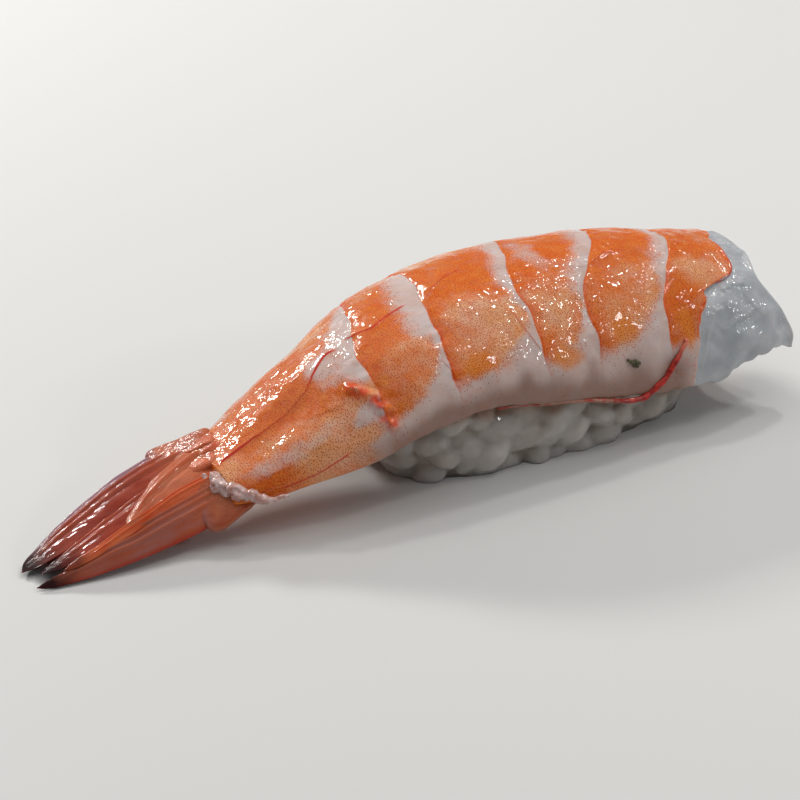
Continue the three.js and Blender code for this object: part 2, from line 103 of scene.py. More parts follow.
# Red lines on the skin: half width, how red, how high the lip on the far side of the line stands,
# and its points as x and angle.
RED_LINES = [
    (0.15, 1.0, 0.18, [(-28.0, -14), (-26.5, -14), (-23.6, -14), (-21.0, -15), (-18.1, -14),
                       (-15.8, -10), (-13.5, -2), (-11.4, 3), (-10.1, 0)]),
    (0.11, 0.9, 0.16, [(-8.8, 2), (-7.0, -2), (-5.5, -6), (-3.4, -4), (-1.6, -4), (-0.4, -4)]),
    (0.08, 0.6, 0.20, [(3.4, -4), (5.4, -1), (7.4, 2), (9.0, 2)]),
    (0.12, 0.8, 0.15, [(-14.5, -77), (-16.4, -80), (-18.5, -83), (-20.7, -84), (-22.9, -84)]),
    (0.13, 0.9, 0.25, [(44.9, -8), (44.7, -16), (44.4, -26), (43.8, -35), (42.3, -40),
                       (40.6, -42)]),
    (0.08, 0.7, 0.15, [(38.0, -45), (38.3, -50), (37.4, -54)]),
    (0.07, 0.5, 0.12, [(5.8, -22), (6.2, -26), (6.1, -32)]),
    (0.08, 0.5, 0.12, [(-1.0, -44), (-0.9, -50), (-0.3, -58), (0.2, -68)]),
    (0.08, 0.5, 0.12, [(10.2, -37), (10.7, -42), (11.2, -51), (11.9, -59), (12.4, -64)]),
    (0.07, 0.3, 0.14, [(-5.2, -56), (-4.8, -62), (-5.0, -68)]),
    (0.06, 0.1, 0.12, [(14.6, -12), (15.6, -20), (17.2, -28), (18.6, -33)]),
    (0.06, 0.2, 0.22, [(22.2, -22), (24.0, -21), (26.5, -17), (29.0, -14)]),
    (0.06, 0.0, 0.12, [(-17.0, -34), (-15.2, -37), (-13.6, -40)]),
    (0.06, 0.0, 0.14, [(-25.0, -62), (-22.0, -64), (-19.0, -61), (-16.5, -60)]),
    (0.06, 0.0, 0.12, [(-24.0, -70), (-21.0, -71), (-18.4, -69)]),
    (0.06, 0.0, 0.35, [(38.9, -56), (38.7, -62), (37.8, -70), (37.0, -78), (36.3, -86)]),
    (0.06, 0.0, 0.30, [(45.5, -62), (44.0, -66), (41.5, -68), (39.8, -72)]),
    (0.06, 0.0, 0.25, [(41.0, -48), (42.5, -46), (44.5, -47)]),
]

# The torn red edge of the first ring: x and angle.
TORN_EDGE = [(-12.6, -31), (-11.6, -34), (-11.1, -40), (-10.4, -46), (-9.8, -54), (-9.5, -62),
             (-9.2, -70), (-8.7, -79)]
TORN_HALF_WIDTH = 0.80
TORN_HEIGHT = 0.85

# Lumps of the skin: where they are, their height, size and seed, and what x is scaled by, so that
# less than 1 draws them out. all: everywhere; band: where the pigment is missing; pucker: at the
# rings' edges; the others go with the mark of that name.
SKIN_LUMPS = [
    ("all", 0.20, 5.5, 21, 1),
    ("all", 0.10, 2.8, 33, 1),
    ("all", 0.05, 1.7, 22, 1),
    ("band", 0.05, 1.7, 22, 1),
    ("wet", 0.12, 1.4, 23, 1),
    ("all", 0.0245, 0.7, 29, 1),
    ("wet", 0.07, 0.7, 29, 1),
    ("pucker", 0.15, 0.9, 34, 0.45),
    ("flesh", 0.07, 1.2, 24, 0.5),
    ("flesh", 0.65, 3.6, 25, 1),
    ("flesh", 0.18, 1.5, 30, 1),
]

# Ochre blotches: x, angle, half length along x, half length round the arch, both in mm.
BLOTCHES = [
    (-9.1, -43, 1.7, 1.6),
    (3.4, -62, 2.2, 1.9),
    (15.9, -70, 2.6, 1.6),
    (24.9, -61, 2.2, 1.8),
    (34.4, -66, 1.1, 3.0),
]

# Where the orange is deeper or paler: x, angle, half lengths in mm and how much.
SHADES = [
    (-25.0, -74, 6.0, 2.4, 0.70),
    (-19.0, -30, 8.0, 3.2, 0.55),
    (-16.0, -64, 8.0, 3.6, -0.60),
    (-9.0, -58, 3.0, 3.0, 0.40),
    (-4.5, -42, 3.0, 3.0, 0.35),
    (-6.5, -22, 3.5, 2.5, 0.25),
    (-2.5, -60, 3.0, 3.0, -0.15),
    (5.5, -30, 2.2, 1.8, -0.60),
    (9.0, -48, 3.0, 4.0, -0.15),
    (16.0, -44, 2.5, 2.5, -0.40),
    (17.5, -4, 5.0, 4.0, 0.45),
    (25.5, -38, 4.0, 3.0, 0.05),
    (34.5, -52, 2.5, 4.0, 0.55),
    (38.0, -30, 3.5, 2.5, -0.45),
]

# Where the pigment is missing or, behind the first ring, left over: x, angle, half lengths in mm
# and how much of it there is.
BARE_PATCHES = [
    (-11.6, -57, 2.0, 1.5, 0.0),
    (-11.6, -70, 1.8, 1.1, 1.0),
    (-12.6, 4, 2.2, 2.6, 0.10),
    (9.2, -4, 3.4, 2.2, 0.90),
    (10.6, -26, 1.4, 2.4, 0.85),
    (-21.5, -53, 6.0, 1.3, 0.45),
    (18.2, -6, 1.8, 2.6, 0.45),
]

TAIL_CLOSED_X = -11.5
TAIL_OPEN_X = -7.5
HEAD_OPEN_X = 38.5
HEAD_CLOSED_X = 42.5
FLAP_THICKNESS = 2.6
CREST_THICKNESS = 5.6
LIP_DROP = 0.7
UNDERSIDE_DROP = 1.6


# ---- small helpers

def lerp(a, b, t):
    return a + (b - a) * t


def smoothstep(x, lo, hi):
    """From 0 at lo to 1 at hi; lo may be the larger one."""
    t = np.clip((x - lo) / (hi - lo), 0.0, 1.0)
    return t * t * (3.0 - 2.0 * t)


def hump(off, spread):
    """A smooth hump, 1 high, round zero."""
    return np.exp(-((off / spread) ** 2))


def along(column, x):
    """Smooth curve through one column of BACK; the slope at a row follows its two neighbours."""
    xs = BACK[:, 0]
    values = BACK[:, column]
    last = len(xs) - 1
    rows = np.arange(last + 1)
    before = np.maximum(rows - 1, 0)
    after = np.minimum(rows + 1, last)
    slope = (values[after] - values[before]) / (xs[after] - xs[before])
    i = np.clip(np.searchsorted(xs[1:], x, side="left"), 0, last - 1)
    step = xs[i + 1] - xs[i]
    t = np.clip((x - xs[i]) / step, 0.0, 1.0)
    out = t * (1.0 - t) ** 2 * step
    back = t * t * (t - 1.0) * step
    plain = lerp(values[i], values[i + 1], smoothstep(t, 0.0, 1.0))
    return plain + out * slope[i] + back * slope[i + 1]


def lattice(corner, seed):
    """Repeatable random numbers from -1 to 1 at whole-number places."""
    mask = 0xFFFFFFFF
    h = corner[..., 0] * 374761393 + corner[..., 1] * 668265263 + corner[..., 2] * 2147483647
    h = (h + seed * 1442695041) & mask
    h = ((h ^ (h >> 13)) * 1274126177) & mask
    h = ((h ^ (h >> 16)) * 668265263) & mask
    return ((h >> 8) & 0xFFFF) / 32767.5 - 1.0


def noise(points, size, seed):
    """Smooth random field, -1 to 1, whose lumps are about as large as size."""
    places = points / size
    corner = np.floor(places).astype(np.int64)
    t = smoothstep(places - corner, 0.0, 1.0)
    total = np.zeros(points.shape[:-1])
    for step in np.ndindex(2, 2, 2):
        weight = np.prod(np.where(step, t, 1.0 - t), axis=-1)
        total += weight * lattice(corner + step, seed)
    return total


def unit(vectors):
    return vectors / np.maximum(np.linalg.norm(vectors, axis=-1, keepdims=True), 1e-9)


def grid_normals(grid):
    """Normals of a grid of points whose rows close on themselves."""
    down = np.gradient(grid, axis=0)
    across = np.roll(grid, -1, axis=1) - np.roll(grid, 1, axis=1)
    return unit(np.cross(across, down))


def placed(name, data, place=(0.0, 0.0, 0.0), turn=(0.0, 0.0, 0.0)):
    """An object of the scene, from its mesh, lamp or camera."""
    obj = bpy.data.objects.new(name, data)
    obj.location = place
    obj.rotation_euler = turn
    bpy.context.scene.collection.objects.link(obj)
    return obj


def closed_loft(name, grid, attributes=None):
    """A closed, smooth-shaded mesh over a grid of rings in mm, with a point in the middle of each
    end. attributes: name -> a number for each point of the grid."""
    rows, columns = grid.shape[:2]
    points = np.concatenate([grid.reshape(-1, 3), [grid[0].mean(0)], [grid[-1].mean(0)]])
    start = rows * columns
    last = start - columns
    afters = [(c + 1) % columns for c in range(columns)]
    faces = [(r + c, r + after, r + columns + after, r + columns + c)
             for r in range(0, last, columns) for c, after in enumerate(afters)]
    for c, after in enumerate(afters):
        faces.append((start, after, c))
        faces.append((start + 1, last + c, last + after))
    mesh = bpy.data.meshes.new(name)
    mesh.from_pydata(((points - FOOTPRINT_MIDDLE) * MM).tolist(), [], faces)
    mesh.validate()
    for key, values in (attributes or {}).items():
        values = np.broadcast_to(values, (rows, columns))
        values = np.append(values, [values[0].mean(), values[-1].mean()])
        layer = mesh.attributes.new(key, "FLOAT", "POINT")
        layer.data.foreach_set("value", values.astype(np.float32))
    mesh.shade_smooth()
    return placed(name, mesh)


def join(objects, name):
    """One object from several."""
    bpy.ops.object.select_all(action="DESELECT")
    for obj in objects:
        obj.select_set(True)
    bpy.context.view_layer.objects.active = objects[0]
    bpy.ops.object.join()
    joined = bpy.context.view_layer.objects.active
    joined.name = name
    joined.data.name = name
    return joined


def melted(obj, voxel):
    """The object's overlapping bodies melted into one skin, in place."""
    remesh = obj.modifiers.new("melt", "REMESH")
    remesh.mode = "VOXEL"
    remesh.voxel_size = voxel * MM
    smooth = obj.modifiers.new("soften", "SMOOTH")
    smooth.factor = 0.5
    smooth.iterations = 2
    graph = bpy.context.evaluated_depsgraph_get()
    mesh = bpy.data.meshes.new_from_object(obj.evaluated_get(graph))
    obj.modifiers.clear()
    obj.data = mesh
    mesh.name = obj.name
    mesh.shade_smooth()
    return obj


# ---- camera

CAMERA_AZIMUTH = -31.0
CAMERA_ELEVATION = 28.0
CAMERA_DISTANCE = 400.0
PIXELS_PER_MM = 7.9
FRAME_PIXELS = 800
TARGET_PIXEL = (400.0, 452.0)
SENSOR_MM = 36.0


def make_camera():
    azimuth = math.radians(CAMERA_AZIMUTH)
    elevation = math.radians(CAMERA_ELEVATION)
    back = np.array([
        math.sin(azimuth) * math.cos(elevation),
        -math.cos(azimuth) * math.cos(elevation),
        math.sin(elevation),
    ])
    right = np.array([math.cos(azimuth), math.sin(azimuth), 0.0])
    up = np.cross(back, right)
    focal = PIXELS_PER_MM * CAMERA_DISTANCE
    off_x = (TARGET_PIXEL[0] - FRAME_PIXELS / 2) / focal
    off_y = (FRAME_PIXELS / 2 - TARGET_PIXEL[1]) / focal
    place = -CAMERA_DISTANCE * (-back + off_x * right + off_y * up)
    data = bpy.data.cameras.new("camera")
    data.sensor_width = SENSOR_MM
    data.lens = SENSOR_MM * focal / FRAME_PIXELS
    place = (place - FOOTPRINT_MIDDLE) * MM
    camera = placed("camera", data, place, (math.pi / 2 - elevation, 0.0, azimuth))
    bpy.context.scene.camera = camera


# ---- shrimp body

STATION_SPACING = 0.27
STATION_CROWDING = 0.55
ARCH_POINTS = 165
LIP_POINTS = 6
UNDER_POINTS = 30
CAP_RINGS = 30
CAP_SOFTENING = 3

# How far from a red line its mark reaches.
LINE_REACH = 0.8


def ring_edge_x(ring, angle):
    """Where a ring's rear edge crosses an angle of the arch, with a slight waver."""
    x, sweep, start, end = ring[:4]
    swept = smoothstep(angle, start, end)
    returned = 0.35 * smoothstep(angle, end, 100)
    waver = 0.16 * np.sin(0.13 * angle + 2.0 * x) + 0.09 * np.sin(0.31 * angle + 5.0 * x)
    return x + sweep * swept * (1.0 - returned) + waver


def head_x(angle):
    return HEAD_X + sum(out * hump(angle - at, spread) for out, at, spread in HEAD_BULGES)


def skin_end_x(angle):
    waver = 0.12 * np.sin(0.31 * angle)
    return np.interp(angle, SKIN_END[:, 0], SKIN_END[:, 1]) + waver


def ring_relief(x, angle):
    depth = np.zeros_like(x)
    for ring in RINGS:
        ahead = x - ring_edge_x(ring, angle)
        behind = np.exp(np.minimum(ahead, 0) / RING_STEP_LENGTH)
        beyond = np.exp(-np.maximum(ahead, 0) / RING_EDGE_WIDTH)
        depth -= RING_STEP * np.where(ahead < 0, behind, beyond)
    past_skin = x - skin_end_x(angle)
    depth -= SKIN_STEP * smoothstep(past_skin, -0.2, 0.8) * np.exp(-np.maximum(past_skin, 0) / 4.0)
    t = np.clip((x - FOLD_START_X) / FOLD_LENGTH, 0.0, 1.0)
    off = angle - lerp(*FOLD_ANGLES, t)
    for height, beside, spread in FOLD_SIDES:
        depth += height * np.sin(math.pi * t) * hump(off - beside, spread)
    return depth


def arch(x, angle, depth):
    turn = np.radians(angle)
    up = np.maximum(np.cos(turn), 0.0)
    raised = depth * up ** 0.5
    y = along(MIDDLE, x) + (along(HALF, x) + raised) * np.sin(turn)
    rise = along(CREST, x) - along(EDGE, x) + raised
    z = along(EDGE, x) + rise * up ** ARCH_FULLNESS
    return np.stack([x, y, z], axis=-1)


def lip(x, turn, side):
    """The flap's rounded lower edge; turn runs from 0 on the outside to pi underneath."""
    radius = FLAP_THICKNESS / 2
    y = along(MIDDLE, x) + side * (along(HALF, x) - radius + radius * np.cos(turn))
    z = along(EDGE, x) - LIP_DROP * np.sin(turn)
    return np.stack([x, y, z], axis=-1)


def under(x, angle):
    turn = np.radians(angle)
    up = np.maximum(np.cos(turn), 0.0) ** ARCH_FULLNESS
    edge = along(EDGE, x)
    hollow = edge + (along(CREST, x) - CREST_THICKNESS - edge) * up
    flat = edge - UNDERSIDE_DROP * (0.5 + 0.5 * up)
    at_tail = smoothstep(x, TAIL_OPEN_X, TAIL_CLOSED_X)
    at_head = smoothstep(x, HEAD_OPEN_X, HEAD_CLOSED_X)
    y = along(MIDDLE, x) + (along(HALF, x) - FLAP_THICKNESS) * np.sin(turn)
    return np.stack([x, y, lerp(hollow, flat, np.maximum(at_tail, at_head))], axis=-1)


def station_grid(angles):
    """x of every station at every angle. The stations follow both ends, the rings' edges and the
    skin's end, and crowd towards them."""
    lines = [np.full_like(angles, TAIL_ROOT_X)]
    lines += [ring_edge_x(ring, angles) for ring in RINGS]
    lines += [skin_end_x(angles), head_x(angles)]
    rows = [lines[0]]
    for first, second in zip(lines[:-1], lines[1:]):
        count = max(int(np.abs(second - first).max() / STATION_SPACING), 4)
        t = np.arange(1, count + 1) / count
        shares = t - STATION_CROWDING * np.sin(2 * math.pi * t) / (2 * math.pi)
        rows += [lerp(first, second, share) for share in shares]
    return np.stack(rows)


def smooth_route(route, steps):
    """A route with steps points to each of its stretches, on a smooth curve through it."""
    path = np.array(route, float)
    last = len(path) - 1
    at = np.linspace(0, last, last * steps + 1)
    i = np.clip(at.astype(int), 0, last - 1)
    t = (at - i)[:, None]
    before = path[np.maximum(i - 1, 0)]
    first = path[i]
    second = path[i + 1]
    after = path[np.minimum(i + 2, last)]
    return 0.5 * (
        2 * first
        + (second - before) * t
        + (2 * before - 5 * first + 4 * second - after) * t ** 2
        + (3 * first - before - 3 * second + after) * t ** 3
    )


def nearest_line(points, x, angle, route):
    """Signed distance in mm to a route on the arch (positive on its far side), and the share of the
    way along it."""
    route_x, route_angle = smooth_route(route, 4).T
    route_points = arch(route_x, route_angle, np.zeros_like(route_x))
    best = np.full(x.shape, np.inf)
    share = np.zeros(x.shape)
    sign = np.ones(x.shape)
    count = len(route_x) - 1
    for i in range(count):
        step = route_points[i + 1] - route_points[i]
        t = np.clip((points - route_points[i]) @ step / (step @ step), 0.0, 1.0)
        off = np.linalg.norm(points - route_points[i] - t[..., None] * step, axis=-1)
        nearer = off < best
        best = np.where(nearer, off, best)
        share = np.where(nearer, (i + t) / count, share)
        level = lerp(route_angle[i], route_angle[i + 1], t)
        sign = np.where(nearer, np.where(angle >= level, 1.0, -1.0), sign)
    return best * sign, share


def faded_ends(share):
    """1 along a route, 0 at its two ends."""
    return smoothstep(share, 0.0, 0.08) * smoothstep(share, 1.0, 0.92)


def inside_patch(x, side, radius, patch, ragged, full, gone):
    """1 inside a patch and 0 outside; full and gone are where it changes, 1 being its rim."""
    patch_x, patch_angle, half_x, half_round = patch[:4]
    off_round = np.radians(side - patch_angle) * radius / half_round
    return smoothstep(np.hypot((x - patch_x) / half_x, off_round) + ragged, gone, full)


def skin_marks(points, x, angle):
    """What the skin shows at each point: a dictionary of shares from 0 to 1."""
    side = -np.abs(angle)
    pigment = np.ones_like(x)
    lit = np.zeros_like(x)
    rough_edge = 0.5 * noise(points, 2.2, 11) + 0.35 * noise(points, 0.8, 12)
    past_skin = x - skin_end_x(angle)
    flesh = smoothstep(past_skin + 0.4 * rough_edge, -0.10, 0.25)
    red = 0.75 * hump(past_skin + 0.25, 0.30) * smoothstep(side, -78, -60)
    red *= smoothstep(noise(points, 2.0, 39), -0.5, 0.5)
    for ring in RINGS:
        ahead = x - ring_edge_x(ring, angle)
        width = ring[4] * smoothstep(side, -44, -18) + ring[5] * smoothstep(side, -44, -72) + 0.1
        band = smoothstep(1.1 * rough_edge - ahead, 1.35 * width + 1.5, 0.45 * width - 0.6)
        pigment *= 1.0 - band * smoothstep(ahead, 0.06, -0.12)
        in_front = np.maximum(ahead, 0)
        lit = np.maximum(lit, (ahead > 0) * np.exp(-in_front / 2.6))
        thin = (ahead > 0) * np.exp(-in_front / 0.35)
        red = np.maximum(red, thin * smoothstep(side, -14, -36) * smoothstep(side, -80, -64))
    radius = 0.5 * (along(HALF, x) + along(CREST, x) - along(EDGE, x))
    richness = 0.28 + 0.62 * smoothstep(side, -34, -8) + 0.45 * lit + 0.30 * noise(points, 5.0, 13)
    for shade in SHADES:
        inside = inside_patch(x, side, radius, shade, 0.6 * rough_edge, 0.0, 1.6)
        richness = richness + shade[4] * inside
    low = smoothstep(side + 5.0 * rough_edge, -64, -76) * smoothstep(x, -16, -6)
    pigment *= 1.0 - 0.88 * low
    for bare in BARE_PATCHES:
        inside = inside_patch(x, side, radius, bare, 0.5 * rough_edge, 0.2, 1.6)
        pigment = lerp(pigment, bare[4], inside)
    ochre = np.zeros_like(x)
    for blotch in BLOTCHES:
        inside = inside_patch(x, side, radius, blotch, 0.35 * rough_edge, 0.45, 1.25)
        ochre = np.maximum(ochre, inside)
    return {
        "pigment": pigment * (1.0 - flesh),
        "richness": np.clip(richness, 0, 1),
        "red": red,
        "ochre": ochre * (1.0 - flesh),
        "flesh": flesh,
    }


def add_red_lines(marks, height, points, x, angle):
    """Marks the red lines; returns the height with their lips on it."""
    marks["line"] = np.full(x.shape, 2.0)
    marks["line_strength"] = np.zeros(x.shape)
    for half_width, redness, lip_height, route in RED_LINES:
        off, share = nearest_line(points, x, angle, route)
        ends = faded_ends(share)
        near = np.abs(off) < LINE_REACH
        marks["line"] = np.where(near, off / half_width, marks["line"])
        strength = redness * (0.35 + 0.65 * ends) * smoothstep(np.abs(off), LINE_REACH, 0.5)
        marks["line_strength"] = np.where(near, strength, marks["line_strength"])
        beyond = np.exp(-np.maximum(off, 0) / (4.0 * lip_height)) * smoothstep(off, -0.15, 0.15)
        height = height + ends * lip_height * beyond * (np.abs(off) < 5)
    return height


def body_marks_and_relief(points, x, angle):
    """Marks of the skin, and the height of its lines and lumps."""
    marks = skin_marks(points, x, angle)
    height = add_red_lines(marks, np.zeros(x.shape), points, x, angle)
    off, share = nearest_line(points, x, angle, TORN_EDGE)
    torn = hump(off + 0.35 * noise(points, 1.1, 26), TORN_HALF_WIDTH) * faded_ends(share)
    height += TORN_HEIGHT * torn * (0.5 + 0.9 * noise(points, 0.75, 27))
    shreds = torn * smoothstep(noise(points, 0.6, 28), -0.6, 0.2)
    marks["red"] = np.maximum(marks["red"], 1.3 * shreds)
    marks["wet"] = hump(x + 19.0, 8.0) * hump(angle - 14, 14)
    at_edges = np.max([hump(x - ring_edge_x(ring, angle), 1.8) for ring in RINGS], axis=0)
    amounts = {
        "all": 1.0,
        "band": 1.0 - marks["pigment"],
        "pucker": at_edges * smoothstep(np.abs(angle), 80, 55),
        **marks,
    }
    for mark, lump_height, lump_size, seed, stretch in SKIN_LUMPS:
        lumps = noise(points * np.array([stretch, 1.0, 1.0]), lump_size, seed)
        height += lump_height * amounts[mark] * lumps
    return marks, height


def body_surface(angles):
    """The bare form of the body: its points, their x and where the outside is."""
    x = station_grid(angles)
    angle = np.broadcast_to(angles, x.shape)
    relief = ring_relief(x, angle)
    lip_turns = np.linspace(0.0, math.pi, LIP_POINTS + 2)[1:-1]
    ends = np.cumsum([0, ARCH_POINTS, LIP_POINTS, UNDER_POINTS, LIP_POINTS])
    a, b, c, d = [slice(first, last) for first, last in zip(ends[:-1], ends[1:])]
    grid = np.concatenate([
        arch(x[:, a], angle[:, a], relief[:, a]),
        lip(x[:, b], lip_turns, -1.0),
        under(x[:, c], angle[:, c]),
        lip(x[:, d], lip_turns[::-1], 1.0),
    ], axis=1)
    outside = np.arange(len(angles)) < ARCH_POINTS
    return grid, x, outside


def head_cap(rim):
    """Rings that close the cut head end, from its rim inwards."""
    middle = rim.mean(0)
    rings = []
    for step in range(1, CAP_RINGS):
        scale = math.cos(0.5 * math.pi * step / CAP_RINGS)
        for _ in range(CAP_SOFTENING):
            rim = 0.5 * rim + 0.25 * (np.roll(rim, 1, axis=0) + np.roll(rim, -1, axis=0))
        ring = lerp(middle, rim, scale)
        bulge = math.sqrt(1 - scale ** 2)
        ring[:, 0] = lerp(middle[0], rim[:, 0], scale ** 2) + 1.3 * bulge
        ring[:, 0] += bulge * (0.55 * noise(ring, 3.4, 32) + 0.22 * noise(ring, 1.3, 37))
        rings.append(ring)
    return np.stack(rings)


def shrimp_body():
    angles = np.concatenate([
        np.linspace(90.0, -90.0, ARCH_POINTS),
        np.full(LIP_POINTS, -90.0),
        np.linspace(-90.0, 90.0, UNDER_POINTS),
        np.full(LIP_POINTS, 90.0),
    ])
    grid, x, outside = body_surface(angles)
    angle = np.broadcast_to(angles, x.shape)
    marks, height = body_marks_and_relief(grid, x, angle)
    hang = smoothstep(np.abs(angle), 55, 90) * smoothstep(x, -12, 0)
    waver = noise(grid * np.array([1.0, 0.2, 0.2]), 3.2, 31)
    grid = grid + grid_normals(grid) * (height * (0.25 + 0.75 * outside))[..., None]
    ragged = noise(grid * np.array([1.0, 0.3, 0.3]), 1.1, 35)
    at_head = smoothstep(x, 34, 38)
    grid[..., 2] += hang * ((0.35 + 0.45 * at_head) * waver + (0.14 + 0.22 * at_head) * ragged)
    frayed = 5.0 * noise(grid * np.array([1.0, 0.5, 0.5]), 2.4, 36)
    # Brown along the flap's lower edge: partly the hem's own translucent brown, partly painted shade,
    # full on the front flap and half on the far one.
    marks["hem_brown_and_shade"] = (smoothstep(np.abs(angle) + frayed, 72, 87) * smoothstep(x, -16, -8)
                       * smoothstep(x, 36.5, 32) * np.where(angle < 0, 1.0, 0.5))
    grid = np.concatenate([grid, head_cap(grid[-1])])
    at_row = np.minimum(np.arange(len(grid)), len(x) - 1)
    marks = {key: values[at_row] for key, values in marks.items()}
    marks["hem_brown_and_shade"][len(x):] = 0.0
    steps = np.linalg.norm(np.diff(grid, axis=1), axis=-1)
    round_arch = np.concatenate([np.zeros((len(grid), 1)), np.cumsum(steps, axis=1)], axis=1)
    marks["skin_u"] = round_arch - round_arch[:, ARCH_POINTS // 2, None]
    marks["skin_v"] = grid[..., 0]
    return closed_loft("shrimp_body", grid, marks)


# ---- tail fan

# Each blade runs from the body to its tip between two edge curves. fine: small ridges, each with its
# share across at the root and at the tip, its height and its half width as a share. marked: which
# edge has a tone of its own. reach: how far along the colours of a whole blade it gets, 1 if left out.
FAN_BLADES = [
    {
        "outer": [(-26.5, 5.2, 6.8), (-34.5, 8.2, 5.2), (-46.0, 3.6, 1.9), (-54.3, -2.2, 0.4)],
        "inner": [(-27.0, -1.0, 7.0), (-37.0, -2.0, 5.6), (-47.0, -4.6, 2.8), (-53.6, -4.2, 0.9)],
        "ridge": 0.45, "rise": 0.8, "belly": 1.4, "marked": "outer",
        "fine": [(0.30, 0.30, 0.30, 0.03), (0.48, 0.50, 0.42, 0.035), (0.10, 0.12, 0.25, 0.04)],
    },
    {
        "outer": [(-27.5, 2.0, 6.6), (-34.0, 2.4, 5.6), (-46.0, -1.4, 2.6), (-52.6, -4.6, 0.8)],
        "inner": [(-28.0, -4.5, 6.4), (-37.0, -4.4, 5.6), (-45.0, -7.4, 3.2), (-52.2, -6.2, 1.3)],
        "ridge": 0.5, "rise": 0.6, "belly": 1.8,
        "fine": [(0.35, 0.40, 0.25, 0.05), (0.65, 0.60, 0.20, 0.05)],
    },
    {
        "outer": [(-27.6, 3.4, 7.4), (-32.0, 3.2, 6.2), (-37.6, -0.2, 4.9), (-41.6, -5.6, 4.4)],
        "inner": [(-26.8, -4.2, 7.3), (-31.0, -3.6, 6.9), (-35.5, -5.0, 5.8), (-41.4, -6.4, 4.5)],
        "ridge": 0.42, "rise": 0.7, "belly": 1.6, "reach": 0.78,
        "fine": [(0.42, 0.50, 0.55, 0.05), (0.70, 0.72, 0.14, 0.06), (0.20, 0.24, 0.12, 0.06)],
    },
    {
        "outer": [(-26.0, -3.8, 7.0), (-31.0, -2.8, 6.5), (-38.0, -5.6, 4.9), (-50.4, -6.4, 1.8)],
        "inner": [(-26.0, -6.2, 7.0), (-33.0, -4.6, 6.4), (-42.0, -8.0, 3.6), (-50.2, -7.4, 1.5)],
        "ridge": 0.45, "rise": 0.7, "belly": 2.4, "reach": 0.90,
        "fine": [(0.30, 0.25, 0.30, 0.05), (0.62, 0.70, 0.30, 0.05)],
    },
    {
        "outer": [(-27.0, -5.2, 6.6), (-36.0, -5.4, 5.1), (-46.0, -6.6, 2.1), (-53.4, -6.6, 0.6)],
        "inner": [(-26.5, -8.4, 4.4), (-35.0, -9.6, 2.0), (-45.0, -9.2, 0.6), (-54.2, -7.4, 0.2)],
        "ridge": 0.35, "rise": 0.9, "belly": 0.9, "marked": "inner",
        "fine": [(0.16, 0.20, 0.45, 0.04), (0.34, 0.40, 0.30, 0.05), (0.56, 0.60, 0.35, 0.05)],
    },
]
BLADE_STATIONS = 130
BLADE_TOP = 56
BLADE_BOTTOM = 16


def bezier(corners, t):
    a, b, c, d = np.array(corners, float)
    t = t[:, None]
    return (1 - t) ** 3 * a + 3 * t * (1 - t) ** 2 * b + 3 * t * t * (1 - t) * c + t ** 3 * d


def fan_blade(number, blade):
    t = np.linspace(0.0, 1.0, BLADE_STATIONS)
    t = np.sin(0.5 * math.pi * t) ** 0.9
    outer = bezier(blade["outer"], t)
    inner = bezier(blade["inner"], t)
    taper = np.maximum(np.sin(math.pi * lerp(0.3, 1.0, t)), 0) ** 0.7 + 0.08
    closing = np.sqrt(np.maximum(1.0 - smoothstep(t, 0.90, 1.0) ** 2, 0.02))
    bottom = np.linspace(1.0, 0.0, BLADE_BOTTOM + 2)[1:-1]
    share = np.concatenate([np.linspace(0.0, 1.0, BLADE_TOP), bottom])
    above = np.arange(len(share)) < BLADE_TOP
    ridge = blade["ridge"]
    bent = np.where(share < ridge, 0.5 * share / ridge, 0.5 + 0.5 * (share - ridge) / (1 - ridge))
    crown = np.maximum(np.sin(math.pi * bent), 0) ** 0.8
    pulled = 0.5 + (share - 0.5) * closing[:, None]
    grid = outer[:, None] + (inner - outer)[:, None] * pulled[..., None]
    lift = np.where(above, blade["rise"] * crown, -0.8 * blade["belly"] * crown ** 0.7)
    lift = lift * taper[:, None] * closing[:, None]
    folds = np.zeros(lift.shape)
    for at_root, at_tip, height, half in blade["fine"]:
        line = lerp(at_root, at_tip, t)[:, None]
        folds += height * hump(share - line, half) * above
    fade = (smoothstep(t, 0.0, 0.15) * smoothstep(t, 0.92, 0.70))[:, None]
    waves = noise(grid * np.array([0.35, 1.0, 0.6]), 1.1, 40 + number)
    grid[..., 2] += lift + folds * fade + 0.15 * waves * above
    grid[..., 2] = np.maximum(grid[..., 2], 0.02)
    marked = blade.get("marked")
    attributes = {
        "across": share + number,
        "down": t[:, None] * blade.get("reach", 1.0),
        "rim": smoothstep(share, 0.34, 0.10) * (marked == "outer"),
        "edge": smoothstep(share, 0.88, 0.98) * (marked == "inner"),
        "fold": np.clip(folds / 0.3, 0, 1),
        "blade": float(number),
    }
    for key, values in attributes.items():
        attributes[key] = np.broadcast_to(values, lift.shape)[:, ::-1]
    return closed_loft("tail_blade", grid[:, ::-1], attributes)


def tail_fan():
    blades = [fan_blade(number, blade) for number, blade in enumerate(FAN_BLADES)]
    return join(blades, "tail_fan")


# ---- root of the tail

# Shell plates and folds of skin: middle, size, and turn, lean and roll in degrees.
ROOT_PLATES = [
    ((-28.7, -7.1, 5.4), (8.4, 6.0, 1.4), 8, 20, 34),
    ((-29.2, 3.3, 6.5), (8.8, 5.0, 2.2), -14, 17, 0),
]
COLLAR_FOLDS = [
    ((-27.1, -2.1, 7.75), (4.6, 4.6, 1.4), 24, 30, 0),
    ((-28.9, -0.5, 7.2), (5.0, 5.2, 1.3), -12, 26, 0),
    ((-27.6, 2.2, 7.7), (5.0, 3.4, 1.2), -30, 26, 0),
]


# Rings and points round each of them: on a plate and on a small ball.
PLATE_GRID = (40, 72)
BALL_GRID = (12, 18)


